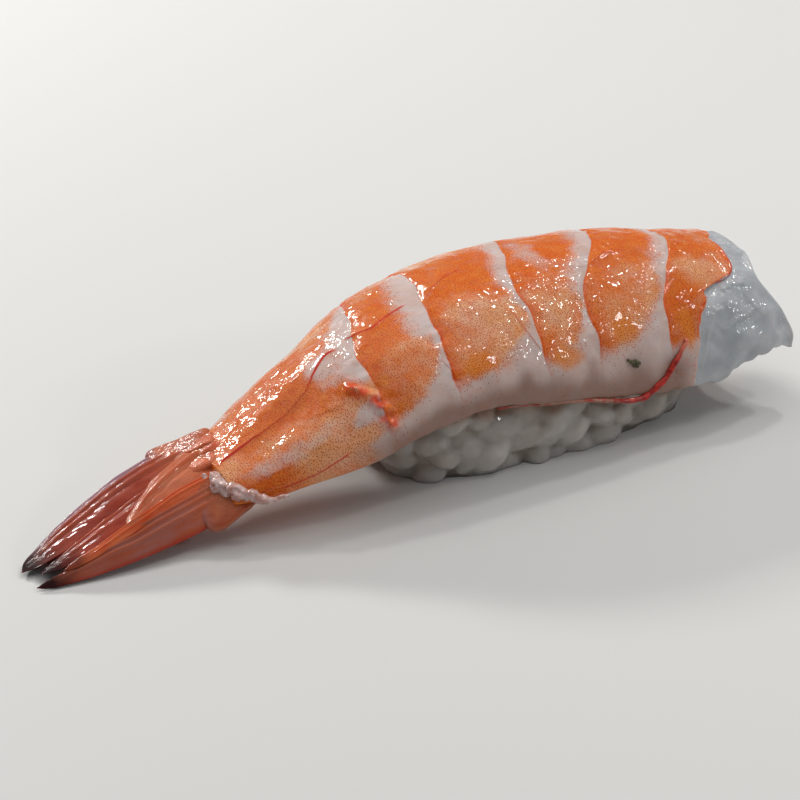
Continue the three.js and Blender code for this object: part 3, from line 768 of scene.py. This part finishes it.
def ball(rows, columns):
    """Points of a unit ball, poles on Z, as a grid of rings from the bottom up."""
    tilt = np.linspace(-0.5 * math.pi, 0.5 * math.pi, rows + 2)[1:-1, None]
    turn = 2 * math.pi * np.arange(columns) / columns
    z = np.sin(tilt) * np.ones(columns)
    return np.stack([np.cos(tilt) * np.cos(turn), np.cos(tilt) * np.sin(turn), z], axis=-1)


def turned(points, first, second, degrees):
    """Points turned about the middle, from the first axis towards the second."""
    cosine = math.cos(math.radians(degrees))
    sine = math.sin(math.radians(degrees))
    out = points.copy()
    out[..., first] = cosine * points[..., first] - sine * points[..., second]
    out[..., second] = sine * points[..., first] + cosine * points[..., second]
    return out


def root_plate(name, number, plate):
    place, size, turn, lean, roll = plate
    grid = ball(*PLATE_GRID)
    rim = hump(grid[..., 2] - 0.15, 0.30)
    grid = np.sign(grid) * np.abs(grid) ** np.array([0.42, 0.42, 0.50]) * np.array(size) / 2
    grid = turned(turned(turned(grid, 1, 2, roll), 0, 2, lean), 0, 1, turn) + np.array(place)
    lumps = 0.24 * noise(grid, 2.0, 50 + number) + 0.09 * noise(grid, 0.8, 52 + number)
    return closed_loft(name, grid + grid_normals(grid) * lumps[..., None], {"rim": rim})


def tube(name, path, radii, sides, steps):
    """A closed tube along a smooth path, with radii given at its points."""
    centre = smooth_route(path, steps)
    shares = np.linspace(0, 1, len(centre))
    radius = np.interp(shares, np.linspace(0, 1, len(radii)), radii)[:, None]
    tangent = unit(np.gradient(centre, axis=0))
    side = unit(np.cross(tangent, np.array([0.0, 0.0, 1.0])))
    up = np.cross(side, tangent)
    turn = 2 * math.pi * np.arange(sides)[:, None] / sides
    ring = np.cos(turn) * side[:, None] + np.sin(turn) * up[:, None]
    grid = centre[:, None] + radius[..., None] * ring
    lumps = 0.22 * radius * noise(grid, 0.9, 61)
    grid = grid + unit(grid - centre[:, None]) * lumps[..., None]
    return closed_loft(name, grid[:, ::-1], {"down": shares[:, None]})


def blobs(name, places, voxel):
    """Balls melted into one lump. places: rows of x, y, z and radius."""
    shape = ball(*BALL_GRID)
    balls = [closed_loft(name, shape * radius + np.array(middle)) for *middle, radius in places]
    return melted(join(balls, name), voxel)


def scattered_blobs(seed, route, radius, count, spread):
    """Rows of x, y, z and radius, scattered along a route."""
    random = np.random.default_rng(seed)
    route = np.array(route)
    rows = []
    for k in range(count):
        at = (len(route) - 1) * (k + 0.5) / count
        i = int(at)
        off = spread * (random.random(3) - 0.5) * np.array([1.0, 1.0, 0.4])
        place = lerp(route[i], route[i + 1], at - i) + off
        rows.append((*place, radius * (0.6 + 0.6 * random.random())))
    return rows


# The torn skin: its blobs and the way that they are scattered along, then that of its pointed scrap.
MEMBRANE_BLOBS = 440
MEMBRANE_ROUTE = [(-28.7, -5.3, 6.8), (-27.9, -6.1, 7.0), (-27.2, -7.2, 6.8), (-26.7, -8.4, 6.3)]
SCRAP_ROUTE = np.array([
    (-27.6, -8.4, 6.9), (-25.9, -10.6, 6.0), (-24.3, -11.6, 5.9), (-22.4, -12.0, 6.5),
])


def torn_skin():
    rows = scattered_blobs(71, MEMBRANE_ROUTE, 0.44, MEMBRANE_BLOBS, 3.1)
    for at in np.arange(0.0, 3.0, 0.25):
        i = int(at)
        place = lerp(SCRAP_ROUTE[i], SCRAP_ROUTE[i + 1], at - i)
        rows.append((*place, 0.75 * (1 - at / 3.2) ** 0.8 + 0.10))
    skin = blobs("torn_skin", rows, 0.16)
    flat = np.empty(len(skin.data.vertices) * 3)
    skin.data.vertices.foreach_get("co", flat)
    points = flat.reshape(-1, 3) / MM + FOOTPRINT_MIDDLE
    points[:, 2] += 0.30 * noise(points, 1.5, 78) + 0.18 * noise(points, 0.7, 73) - 0.10
    points[:, 1] += 0.14 * noise(points, 0.6, 74)
    skin.data.vertices.foreach_set("co", ((points - FOOTPRINT_MIDDLE) * MM).ravel())
    skin.data.update()
    return skin


def collar_folds():
    folds = [root_plate("collar_folds", 2 + i, row) for i, row in enumerate(COLLAR_FOLDS)]
    return join(folds, "collar_folds")


# ---- red strand and green flecks

# The strand's way: x, angle, how far below the flap edge it hangs, and its radius.
STRAND_ROUTE = np.array([
    (5.5, -90, 0.5, 0.10), (9.0, -90, 0.6, 0.15), (12.5, -90, 0.6, 0.18), (15.7, -90, 0.4, 0.23),
    (18.7, -90, 0.4, 0.26), (22.0, -90, 0.6, 0.30), (24.7, -90, 0.8, 0.35), (27.1, -90, 0.5, 0.40),
    (28.9, -88, 0.1, 0.43), (30.1, -86, 0.0, 0.42), (31.2, -82, 0.0, 0.38), (32.2, -78, 0.0, 0.35),
    (33.1, -74, 0.0, 0.33), (33.7, -71.5, 0.0, 0.31), (33.6, -70, 0.0, 0.22),
])
STRAND_RAISED = 0.15
STRAND_SIDES = 20
STRAND_STEPS = 20


def strand():
    x, angle, drop, radii = STRAND_ROUTE.T
    path = arch(x, angle, np.zeros_like(x))
    path[:, 1] -= lerp(-0.35, STRAND_RAISED, smoothstep(x, 10.0, 24.0))
    path[:, 2] -= drop
    return tube("strand", path, radii, STRAND_SIDES, STRAND_STEPS)


# Green flecks on the front flap: x, angle and radius of the crumbs that make each up.
FLECKS = [(24.5, -75.6, 0.22), (24.9, -76.4, 0.28), (25.2, -77.2, 0.22), (25.6, -76.6, 0.30),
          (26.1, -77.6, 0.26), (25.3, -78.6, 0.20), (25.8, -78.7, 0.28)]
FLECK_LIFT = np.array([0.0, -0.16, 0.04])


def green_flecks():
    rows = []
    for x, angle, radius in FLECKS:
        place = arch(np.array([x]), np.array([angle]), np.zeros(1))[0]
        rows.append((*(place + FLECK_LIFT), radius))
    return blobs("green_flecks", rows, 0.06)


# ---- rice

RICE_MIDDLE = np.array([18.0, 0.0])
RICE_HALF_LENGTH = 25.2
RICE_HALF_WIDTH = 12.0
RICE_FOOT = 0.9
RICE_SQUARENESS = 3.2
RICE_FULLEST_Z = 4.5
RICE_SHOULDER_Z = 8.0
RICE_SHRINK = 0.94
RICE_RINGS = 230
GRAIN_ROWS = ((1.0, 4.0), (3.8, 4.0), (6.6, 4.0), (9.4, 4.4))
GRAIN_MERGING = 0.14


def rice_half_width(x):
    u = np.abs(x - RICE_MIDDLE[0]) / RICE_HALF_LENGTH
    return RICE_HALF_WIDTH * np.maximum(1 - u ** RICE_SQUARENESS, 0) ** (1 / RICE_SQUARENESS)


def rice_point(x, y, z):
    fullness = lerp(RICE_FOOT, 1.0, smoothstep(z, 0.0, RICE_FULLEST_Z))
    return np.stack([
        lerp(RICE_MIDDLE[0], x, fullness),
        lerp(RICE_MIDDLE[1], y, fullness),
        z + 0 * x,
    ], axis=-1)


def rice_rings():
    """The block without its clumps, as a grid of rings across it."""
    heights = np.linspace(0.0, RICE_SHOULDER_Z, 34)
    turns = np.linspace(0.0, math.pi, 52)[1:-1]
    rings = []
    for end in np.sin(0.5 * math.pi * np.linspace(-1, 1, RICE_RINGS)):
        reach = 0.9999 * RICE_HALF_LENGTH * end
        x = RICE_MIDDLE[0] + RICE_SHRINK * reach
        half = RICE_SHRINK * rice_half_width(RICE_MIDDLE[0] + reach)
        top = float(along(CREST, x)) - CREST_THICKNESS + 0.6
        rings.append(np.concatenate([
            rice_point(x, half, heights),
            rice_point(x, half * np.cos(turns), lerp(RICE_SHOULDER_Z, top, np.sin(turns))),
            rice_point(x, -half, heights[::-1]),
        ]))
    return np.stack(rings)


def rice_seeds(random, rows):
    """Middles and axes of the clumps or grains that show round the block."""
    turns = np.linspace(0, 2 * math.pi, 721)
    x = RICE_MIDDLE[0] + RICE_HALF_LENGTH * np.sign(np.cos(turns)) * np.abs(np.cos(turns)) ** 0.8
    y = RICE_SHRINK * np.sign(np.sin(turns)) * rice_half_width(x)
    x = lerp(RICE_MIDDLE[0], x, RICE_SHRINK)
    length = np.concatenate([[0], np.cumsum(np.hypot(np.diff(x), np.diff(y)))])
    total = length[-1]
    middles = []
    axes = []
    for height, spacing in rows:
        count = int(total / spacing)
        start = random.random()
        for i in range(count):
            at = ((i + start + 0.7 * random.random()) / count % 1.0) * total
            here, ahead = [np.array([np.interp(way, length, x), np.interp(way, length, y)])
                           for way in (at, (at + 0.5) % total)]
            z = height + 0.6 * spacing * (random.random() - 0.5)
            tilt = 0.9 * math.pi * (random.random() - 0.5)
            middles.append(rice_point(*here, np.array(max(z, 0.4))))
            tangent = unit(np.append(ahead - here, 0.0))
            axes.append(unit(tangent * math.cos(tilt) + np.array([0, 0, math.sin(tilt)])))
    return np.array(middles), np.array(axes)


def softened(values, rounds):
    """A grid of numbers, evened out between neighbours; its rows close on themselves."""
    for _ in range(rounds):
        values = 0.5 * values + 0.25 * (np.roll(values, 1, axis=1) + np.roll(values, -1, axis=1))
        padded = np.concatenate([values[:1], values, values[-1:]])
        values = 0.5 * values + 0.25 * (padded[:-2] + padded[2:])
    return values


def rice_relief(grid, random):
    """How far the grains stand out, which tone each has, and where the creases between them are, which
    get painted shade.
    """
    middles, axes = rice_seeds(random, GRAIN_ROWS)
    wavy = grid + 0.35 * np.stack([noise(grid, 1.8, seed) for seed in (81, 82, 83)], axis=-1)
    total = np.ones(grid.shape[:2])
    highest = np.zeros(grid.shape[:2])
    tone = np.zeros(grid.shape[:2])
    for middle, axis in zip(middles, axes):
        radius = 1.7 + 0.9 * random.random()
        height = 0.5 + 1.3 * random.random()
        off = wavy - middle
        lengthwise = off @ axis
        crosswise = np.linalg.norm(off - lengthwise[..., None] * axis, axis=-1)
        away = (lengthwise / (1.3 * radius)) ** 2 + (crosswise / radius) ** 2
        dome = height * np.maximum(1.0 - away, 0.0) ** 0.6
        total += np.exp(dome / GRAIN_MERGING) - 1.0
        tone = np.where(dome > highest, random.random(), tone)
        highest = np.maximum(highest, dome)
    relief = softened(GRAIN_MERGING * np.log(total), 1)
    # 1 in the creases between the grains; the material paints shade there.
    crease_shade = smoothstep(relief, 0.9, 0.1)
    relief += 0.16 * noise(grid, 1.6, 84) + 0.07 * noise(grid, 0.8, 85)
    return relief, softened(tone, 3), crease_shade


def rice_block():
    grid = rice_rings()
    relief, tone, crease_shade = rice_relief(grid, np.random.default_rng(29))
    x = grid[..., 0]
    edge = along(EDGE, x)
    covered = smoothstep(grid[..., 2], edge - 0.6, edge + 0.6)
    relief *= 1.0 - 0.8 * covered
    normals = grid_normals(grid)
    normals[:, 0] = normals[:, 1]
    normals[:, -1] = normals[:, -2]
    share = (x - RICE_MIDDLE[0]) / (RICE_SHRINK * RICE_HALF_LENGTH)
    outward = np.sign(share)[..., None] * np.array([1.0, 0.0, 0.0])
    normals = unit(lerp(normals, outward, smoothstep(np.abs(share), 0.990, 0.998)[..., None]))
    grid = grid + normals * relief[..., None]
    room = along(HALF, x) - 1.0
    held = along(MIDDLE, x) + np.clip(grid[..., 1] - along(MIDDLE, x), -room, room)
    grid[..., 1] = lerp(grid[..., 1], held, covered)
    grid[..., 2] = np.maximum(grid[..., 2], 0.0)
    # Painted shade on the rice just under the flap's edge, warm brown.
    under_flap_shade = smoothstep(grid[..., 2] + 1.6 * noise(grid, 3.0, 86), edge - 3.4, edge - 1.2)
    return closed_loft("rice_block", grid, {"tone": tone, "crease_shade": crease_shade, "under_flap_shade": under_flap_shade})


# ---- materials

def linear(red, green, blue):
    """A colour in linear light from its 0 to 255 values."""
    out = []
    for value in (red, green, blue):
        v = value / 255
        out.append(v / 12.92 if v <= 0.04045 else ((v + 0.055) / 1.055) ** 2.4)
    return (*out, 1.0)


class Shader:
    """A material and short ways to add nodes to it."""

    def __init__(self, name):
        self.material = bpy.data.materials.new(name)
        self.material.use_nodes = True
        self.tree = self.material.node_tree
        self.principled = self.tree.nodes["Principled BSDF"]

    def add(self, kind, *values, **settings):
        """A node with its settings, and values or sockets for its first inputs."""
        node = self.tree.nodes.new(kind)
        for key, value in settings.items():
            setattr(node, key, value)
        for socket, value in zip(node.inputs, values):
            self.plug(socket, value)
        return node

    def plug(self, socket, value):
        if isinstance(value, bpy.types.NodeSocket):
            self.tree.links.new(value, socket)
        else:
            socket.default_value = value

    def attribute(self, name):
        return self.add("ShaderNodeAttribute", attribute_name=name).outputs["Fac"]

    def place(self, stretch=(1.0, 1.0, 1.0)):
        """Object coordinates in mm, stretched."""
        mapping = self.add("ShaderNodeMapping", self.add("ShaderNodeTexCoord").outputs["Object"])
        mapping.inputs["Scale"].default_value = [value / MM for value in stretch]
        return mapping.outputs["Vector"]

    def noise(self, size, detail=3.0, rough=0.5, vector=None):
        node = self.add("ShaderNodeTexNoise", vector or self.place())
        node.inputs["Scale"].default_value = 1.0 / size
        node.inputs["Detail"].default_value = detail
        node.inputs["Roughness"].default_value = rough
        return node.outputs["Fac"]

    def math(self, operation, first, second=0.0):
        return self.add("ShaderNodeMath", first, second, operation=operation).outputs[0]

    def times(self, first, second):
        return self.math("MULTIPLY", first, second)

    def plus(self, first, second):
        return self.math("ADD", first, second)

    def span(self, value, lo, hi, low=0.0, high=1.0):
        """value from lo..hi to low..high, smoothly."""
        kind = "ShaderNodeMapRange"
        node = self.add(kind, value, lo, hi, low, high, interpolation_type="SMOOTHSTEP")
        return node.outputs["Result"]

    def mix(self, share, first, second):
        node = self.add("ShaderNodeMix", share, data_type="RGBA")
        self.plug(node.inputs[6], first)
        self.plug(node.inputs[7], second)
        return node.outputs[2]

    def tint(self, base, colour, share, amount):
        """base, with that amount of a colour where share is 1."""
        return self.mix(self.times(share, amount), base, colour)

    def bump(self, height, distance, strength=1.0, normal=None):
        node = self.add("ShaderNodeBump")
        self.plug(node.inputs["Height"], height)
        node.inputs["Distance"].default_value = distance * MM
        node.inputs["Strength"].default_value = strength
        if normal is not None:
            self.plug(node.inputs["Normal"], normal)
        return node.outputs["Normal"]

    def finished(self, colour, roughness, **others):
        """The material with its surface set. coat: weight, roughness, index and normal of the wet
        film. depth: weight of the light under the skin, and its reach as a colour and in metres."""
        film = ("Coat Weight", "Coat Roughness", "Coat IOR", "Coat Normal")
        under = ("Subsurface Weight", "Subsurface Radius", "Subsurface Scale")
        values = {"Base Color": colour, "Roughness": roughness}
        values.update(zip(film, others.pop("coat", ())))
        values.update(zip(under, others.pop("depth", ())))
        values.update(others)
        for key, value in values.items():
            self.plug(self.principled.inputs[key.replace("_", " ")], value)
        return self.material


def dots(shader, spacing, size, share, vector=None):
    """Small round dots: 1 on a dot. share is how many of the cells have one; with a vector given,
    the dots are laid out over its first two parts."""
    kind = "3D" if vector is None else "2D"
    cells = shader.add("ShaderNodeTexVoronoi", vector or shader.place(), voronoi_dimensions=kind)
    cells.inputs["Scale"].default_value = 1.0 / spacing
    cells.inputs["Randomness"].default_value = 0.85
    parts = shader.add("ShaderNodeSeparateColor", cells.outputs["Color"])
    picked = shader.math("LESS_THAN", parts.outputs["Red"], share)
    return shader.times(shader.span(cells.outputs["Distance"], size, 0.55 * size), picked)


def skin_material():
    s = Shader("shrimp_skin")
    pigment = s.attribute("pigment")
    flesh = s.attribute("flesh")
    broken = s.span(s.noise(1.4, 4.0, 0.6), 0.30, 0.70)
    cloudy = s.span(s.noise(3.2), 0.30, 0.70)
    mottled = s.plus(s.times(broken, 0.35), s.times(cloudy, 0.45))
    strong = s.span(s.plus(s.attribute("richness"), mottled), 0.25, 1.25)
    pale = s.mix(cloudy, linear(222, 152, 98), linear(222, 170, 138))
    orange = s.mix(broken, linear(210, 94, 18), linear(216, 116, 42))
    white = s.mix(cloudy, linear(198, 170, 160), linear(204, 188, 184))
    wavering = s.times(s.math("SUBTRACT", broken, 0.5), 0.22)
    drifting = s.times(s.math("SUBTRACT", cloudy, 0.5), 0.30)
    amount = s.span(s.plus(pigment, s.plus(wavering, drifting)), 0.02, 0.98)
    colour = s.mix(amount, white, s.mix(strong, pale, orange))
    colour = s.tint(colour, linear(224, 130, 36), s.attribute("ochre"), 0.7)
    density = s.span(pigment, 0.0, 0.7, 0.0, 0.9)
    skin_place = s.add("ShaderNodeCombineXYZ", s.attribute("skin_u"), s.attribute("skin_v"))
    spots = dots(s, 0.31, 0.29, density, skin_place.outputs[0])
    colour = s.tint(colour, linear(164, 50, 10), spots, 0.9)
    colour = s.mix(flesh, colour, s.mix(cloudy, linear(164, 168, 172), linear(182, 184, 187)))
    # Painted shade with the hem's own brown, along the flap's lower edge.
    colour = s.tint(colour, linear(122, 80, 56), s.attribute("hem_brown_and_shade"), 0.75)
    colour = s.tint(colour, linear(208, 64, 20), s.attribute("red"), 0.75)
    line = s.span(s.math("ABSOLUTE", s.attribute("line")), 1.3, 0.6)
    colour = s.tint(colour, linear(196, 36, 10), line, s.attribute("line_strength"))
    wet = s.plus(s.times(s.attribute("wet"), 0.08), s.times(flesh, 0.10))
    wet = s.plus(wet, s.span(s.noise(4.5, 1.0), 0.45, 0.62, 0.02, 0.15))
    swell = s.bump(s.noise(2.4, 1.0), 0.50)
    film = s.bump(s.times(s.noise(0.65, 1.0), wet), 1.0, normal=swell)
    return s.finished(
        colour,
        s.span(s.noise(2.6), 0.35, 0.7, 0.34, 0.52),
        Specular_IOR_Level=0.10,
        Normal=s.bump(s.noise(0.5, 2.0), 0.05),
        IOR=1.40,
        depth=(0.30, (1.0, 0.45, 0.25), 1.6 * MM),
        coat=(s.span(flesh, 0.0, 1.0, 0.60, 0.95), 0.07, 1.45, film),
    )


# Each blade's two tones, in the order of FAN_BLADES.
BLADE_TONES = [
    (linear(124, 36, 16), linear(150, 58, 36)),
    (linear(132, 38, 16), linear(156, 56, 30)),
    (linear(170, 78, 46), linear(188, 108, 76)),
    (linear(190, 70, 30), linear(204, 104, 62)),
    (linear(158, 74, 48), linear(152, 92, 82)),
]


def fan_material():
    s = Shader("tail_shell")
    down = s.attribute("down")
    blade = s.attribute("blade")
    drawn_out = s.add("ShaderNodeCombineXYZ", s.times(s.attribute("across"), 9.0), s.times(down, 2.5))
    streaks = s.noise(1.0, 3.0, 0.55, drawn_out.outputs[0])
    cloudy = s.noise(3.0)
    blend = s.span(s.plus(s.times(streaks, 0.5), s.times(cloudy, 0.5)), 0.35, 0.65)
    base = s.mix(blend, *BLADE_TONES[0])
    for number, tones in enumerate(BLADE_TONES[1:], 1):
        past = s.math("GREATER_THAN", blade, number - 0.5)
        base = s.mix(past, base, s.mix(blend, *tones))
    base = s.tint(base, linear(206, 112, 72), s.span(down, 0.40, 0.05), 0.4)
    base = s.tint(base, linear(206, 112, 76), s.attribute("fold"), 0.30)
    base = s.tint(base, linear(146, 124, 138), s.attribute("rim"), 0.7)
    base = s.tint(base, linear(158, 46, 26), s.attribute("edge"), 0.7)
    dark = s.span(s.plus(down, s.times(cloudy, 0.20)), 0.84, 1.02)
    base = s.mix(dark, base, linear(40, 14, 16))
    base = s.tint(base, linear(120, 36, 20), dots(s, 0.45, 0.22, 0.35), 0.4)
    film = s.bump(s.noise(0.7, 1.0, vector=s.place((0.15, 1.0, 1.0))), 0.20)
    return s.finished(
        base,
        s.plus(s.span(cloudy, 0.3, 0.7, 0.30, 0.42), s.times(dark, 0.3)),
        Specular_IOR_Level=0.05,
        Normal=s.bump(streaks, 0.05, 0.6),
        depth=(0.20, (1.0, 0.4, 0.25), 1.2 * MM),
        coat=(s.span(dark, 0.0, 1.0, 0.42, 0.06), 0.04, 1.45, film),
    )


PLATE_END_X = -30.0


def plate_material(name, first, second):
    s = Shader(name)
    cloudy = s.span(s.noise(2.2), 0.3, 0.7)
    base = s.tint(s.mix(cloudy, first, second), linear(160, 70, 40), dots(s, 0.5, 0.22, 0.4), 0.5)
    x = s.add("ShaderNodeSeparateXYZ", s.place()).outputs[0]
    outer_end = s.span(s.plus(x, cloudy), PLATE_END_X + 1.0, PLATE_END_X - 1.4)
    base = s.tint(base, linear(140, 106, 114), outer_end, 0.6)
    base = s.tint(base, linear(190, 140, 116), s.attribute("rim"), 0.25)
    normal = s.bump(s.noise(0.9, 2.0), 0.25, 0.8)
    return s.finished(
        base,
        0.40,
        Specular_IOR_Level=0.2,
        Normal=normal,
        depth=(0.3, (1.0, 0.45, 0.3), 1.2 * MM),
        coat=(0.28, 0.05, 1.33, normal),
    )


def membrane_material():
    s = Shader("torn_membrane")
    cloudy = s.span(s.noise(1.1, 4.0, 0.6), 0.35, 0.65)
    normal = s.bump(s.noise(0.35), 0.10, 0.6)
    return s.finished(
        s.mix(cloudy, linear(176, 130, 118), linear(206, 180, 176)),
        0.3,
        Normal=normal,
        depth=(0.4, (1.0, 0.7, 0.6), 1.0 * MM),
        coat=(0.6, 0.12, 1.5, normal),
    )


def strand_material():
    s = Shader("red_strand")
    down = s.attribute("down")
    streaks = s.noise(0.5)
    deep = s.mix(s.span(streaks, 0.35, 0.65), linear(128, 8, 4), linear(186, 40, 22))
    pale = s.mix(streaks, linear(214, 84, 40), linear(222, 150, 128))
    faint = s.mix(s.span(s.noise(1.6, 2.0), 0.42, 0.58), linear(160, 108, 88), linear(158, 40, 20))
    base = s.mix(s.span(down, 0.30, 0.50), faint, deep)
    normal = s.bump(s.noise(0.3), 0.06, 0.6)
    return s.finished(
        s.mix(s.span(down, 0.74, 0.92), base, pale),
        0.40,
        Specular_IOR_Level=0.2,
        Normal=normal,
        depth=(0.2, (1.0, 0.3, 0.2), 0.5 * MM),
        coat=(0.8, 0.06, 1.34, normal),
    )


def fleck_material():
    s = Shader("green_fleck")
    base = s.mix(s.noise(0.3, 2.0), linear(34, 32, 10), linear(88, 80, 36))
    return s.finished(base, 0.45, Normal=s.bump(s.noise(0.15, 2.0), 0.03), coat=(0.6, 0.06, 1.34))


def rice_material():
    s = Shader("cooked_rice")
    base = s.mix(s.attribute("tone"), linear(160, 152, 145), linear(186, 180, 174))
    base = s.tint(base, linear(152, 140, 130), s.noise(2.4), 0.25)
    # Painted shade in the creases between the grains, warm and slightly darker.
    base = s.tint(base, linear(166, 148, 130), s.attribute("crease_shade"), 0.45)
    # Painted shade under the flap, warm brown.
    base = s.tint(base, linear(136, 96, 66), s.attribute("under_flap_shade"), 0.85)
    film = s.bump(s.noise(0.8, 1.0), 0.20, normal=s.bump(s.noise(1.8, 1.0), 0.35))
    return s.finished(
        base,
        s.span(s.noise(1.6), 0.35, 0.7, 0.30, 0.48),
        Specular_IOR_Level=0.3,
        Normal=s.bump(s.noise(0.9, 2.0), 0.14, 0.8),
        IOR=1.38,
        depth=(1.0, (1.0, 0.94, 0.86), 5.0 * MM),
        coat=(0.8, 0.04, 1.45, film),
    )


# ---- light and floor

FLOOR_HALF = 1.5
WARM = (1.0, 0.98, 0.95)
# Lamps: place, size, power and colour. They all point at one place. Lengths are in metres.
LIT_PLACE = (0.0, 0.0, 0.01)
LAMPS = {
    "back": ((-0.06, 0.42, 0.24), (0.12, 0.06), 1.4, WARM),
    "side": ((0.25, 0.17, 0.46), (0.045, 0.035), 0.42, WARM),
    "head": ((0.34, 0.03, 0.38), (0.04, 0.03), 0.36, WARM),
    "front": ((0.205, -0.146, 0.374), (0.03, 0.02), 0.16, WARM),
    "cheek": ((0.32, -0.36, 0.26), (0.06, 0.045), 0.30, (0.97, 0.98, 1.0)),
    "top": ((-0.10, 0.02, 1.10), (1.60, 1.60), 6.8, (1.0, 0.98, 0.96)),
}


def make_light():
    for name, (place, size, power, colour) in LAMPS.items():
        data = bpy.data.lights.new(name, "AREA")
        data.shape = "RECTANGLE"
        data.size, data.size_y = size
        data.energy = power
        data.color = colour
        x, y, z = np.array(LIT_PLACE) - np.array(place)
        elevation = math.atan2(z, math.hypot(x, y))
        placed(name, data, place, (math.pi / 2 + elevation, 0.0, math.atan2(y, x) - math.pi / 2))
    world = bpy.data.worlds.new("studio")
    world.use_nodes = True
    background = world.node_tree.nodes["Background"]
    background.inputs["Color"].default_value = (0.92, 0.95, 1.0, 1.0)
    background.inputs["Strength"].default_value = 0.20
    bpy.context.scene.world = world
    bpy.context.scene.view_settings.view_transform = "Standard"


def make_floor():
    mesh = bpy.data.meshes.new("floor")
    corners = [(x * FLOOR_HALF, y * FLOOR_HALF, 0.0) for x, y in ((-1, -1), (1, -1), (1, 1), (-1, 1))]
    mesh.from_pydata(corners, [], [(0, 1, 2, 3)])
    mesh.materials.append(Shader("floor").finished(linear(206, 206, 204), 0.6))
    placed("floor", mesh)


# ---- the whole

def finish_piece(obj, material, node=None):
    obj.data.materials.clear()
    obj.data.materials.append(material)
    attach(obj, "root")
    if node is not None:
        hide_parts(node)


def build():
    make_camera()
    make_floor()
    make_light()
    plate = plate_material("tail_plate", linear(160, 72, 38), linear(182, 98, 60))
    collar = plate_material("collar_skin", linear(184, 72, 34), linear(200, 104, 64))
    finish_piece(shrimp_body(), skin_material(), "shrimp")
    finish_piece(tail_fan(), fan_material())
    for number, row in enumerate(ROOT_PLATES):
        finish_piece(root_plate("tail_plate", number, row), plate)
    finish_piece(collar_folds(), collar)
    finish_piece(torn_skin(), membrane_material())
    finish_piece(strand(), strand_material())
    finish_piece(green_flecks(), fleck_material())
    finish_piece(rice_block(), rice_material(), "rice")


build()
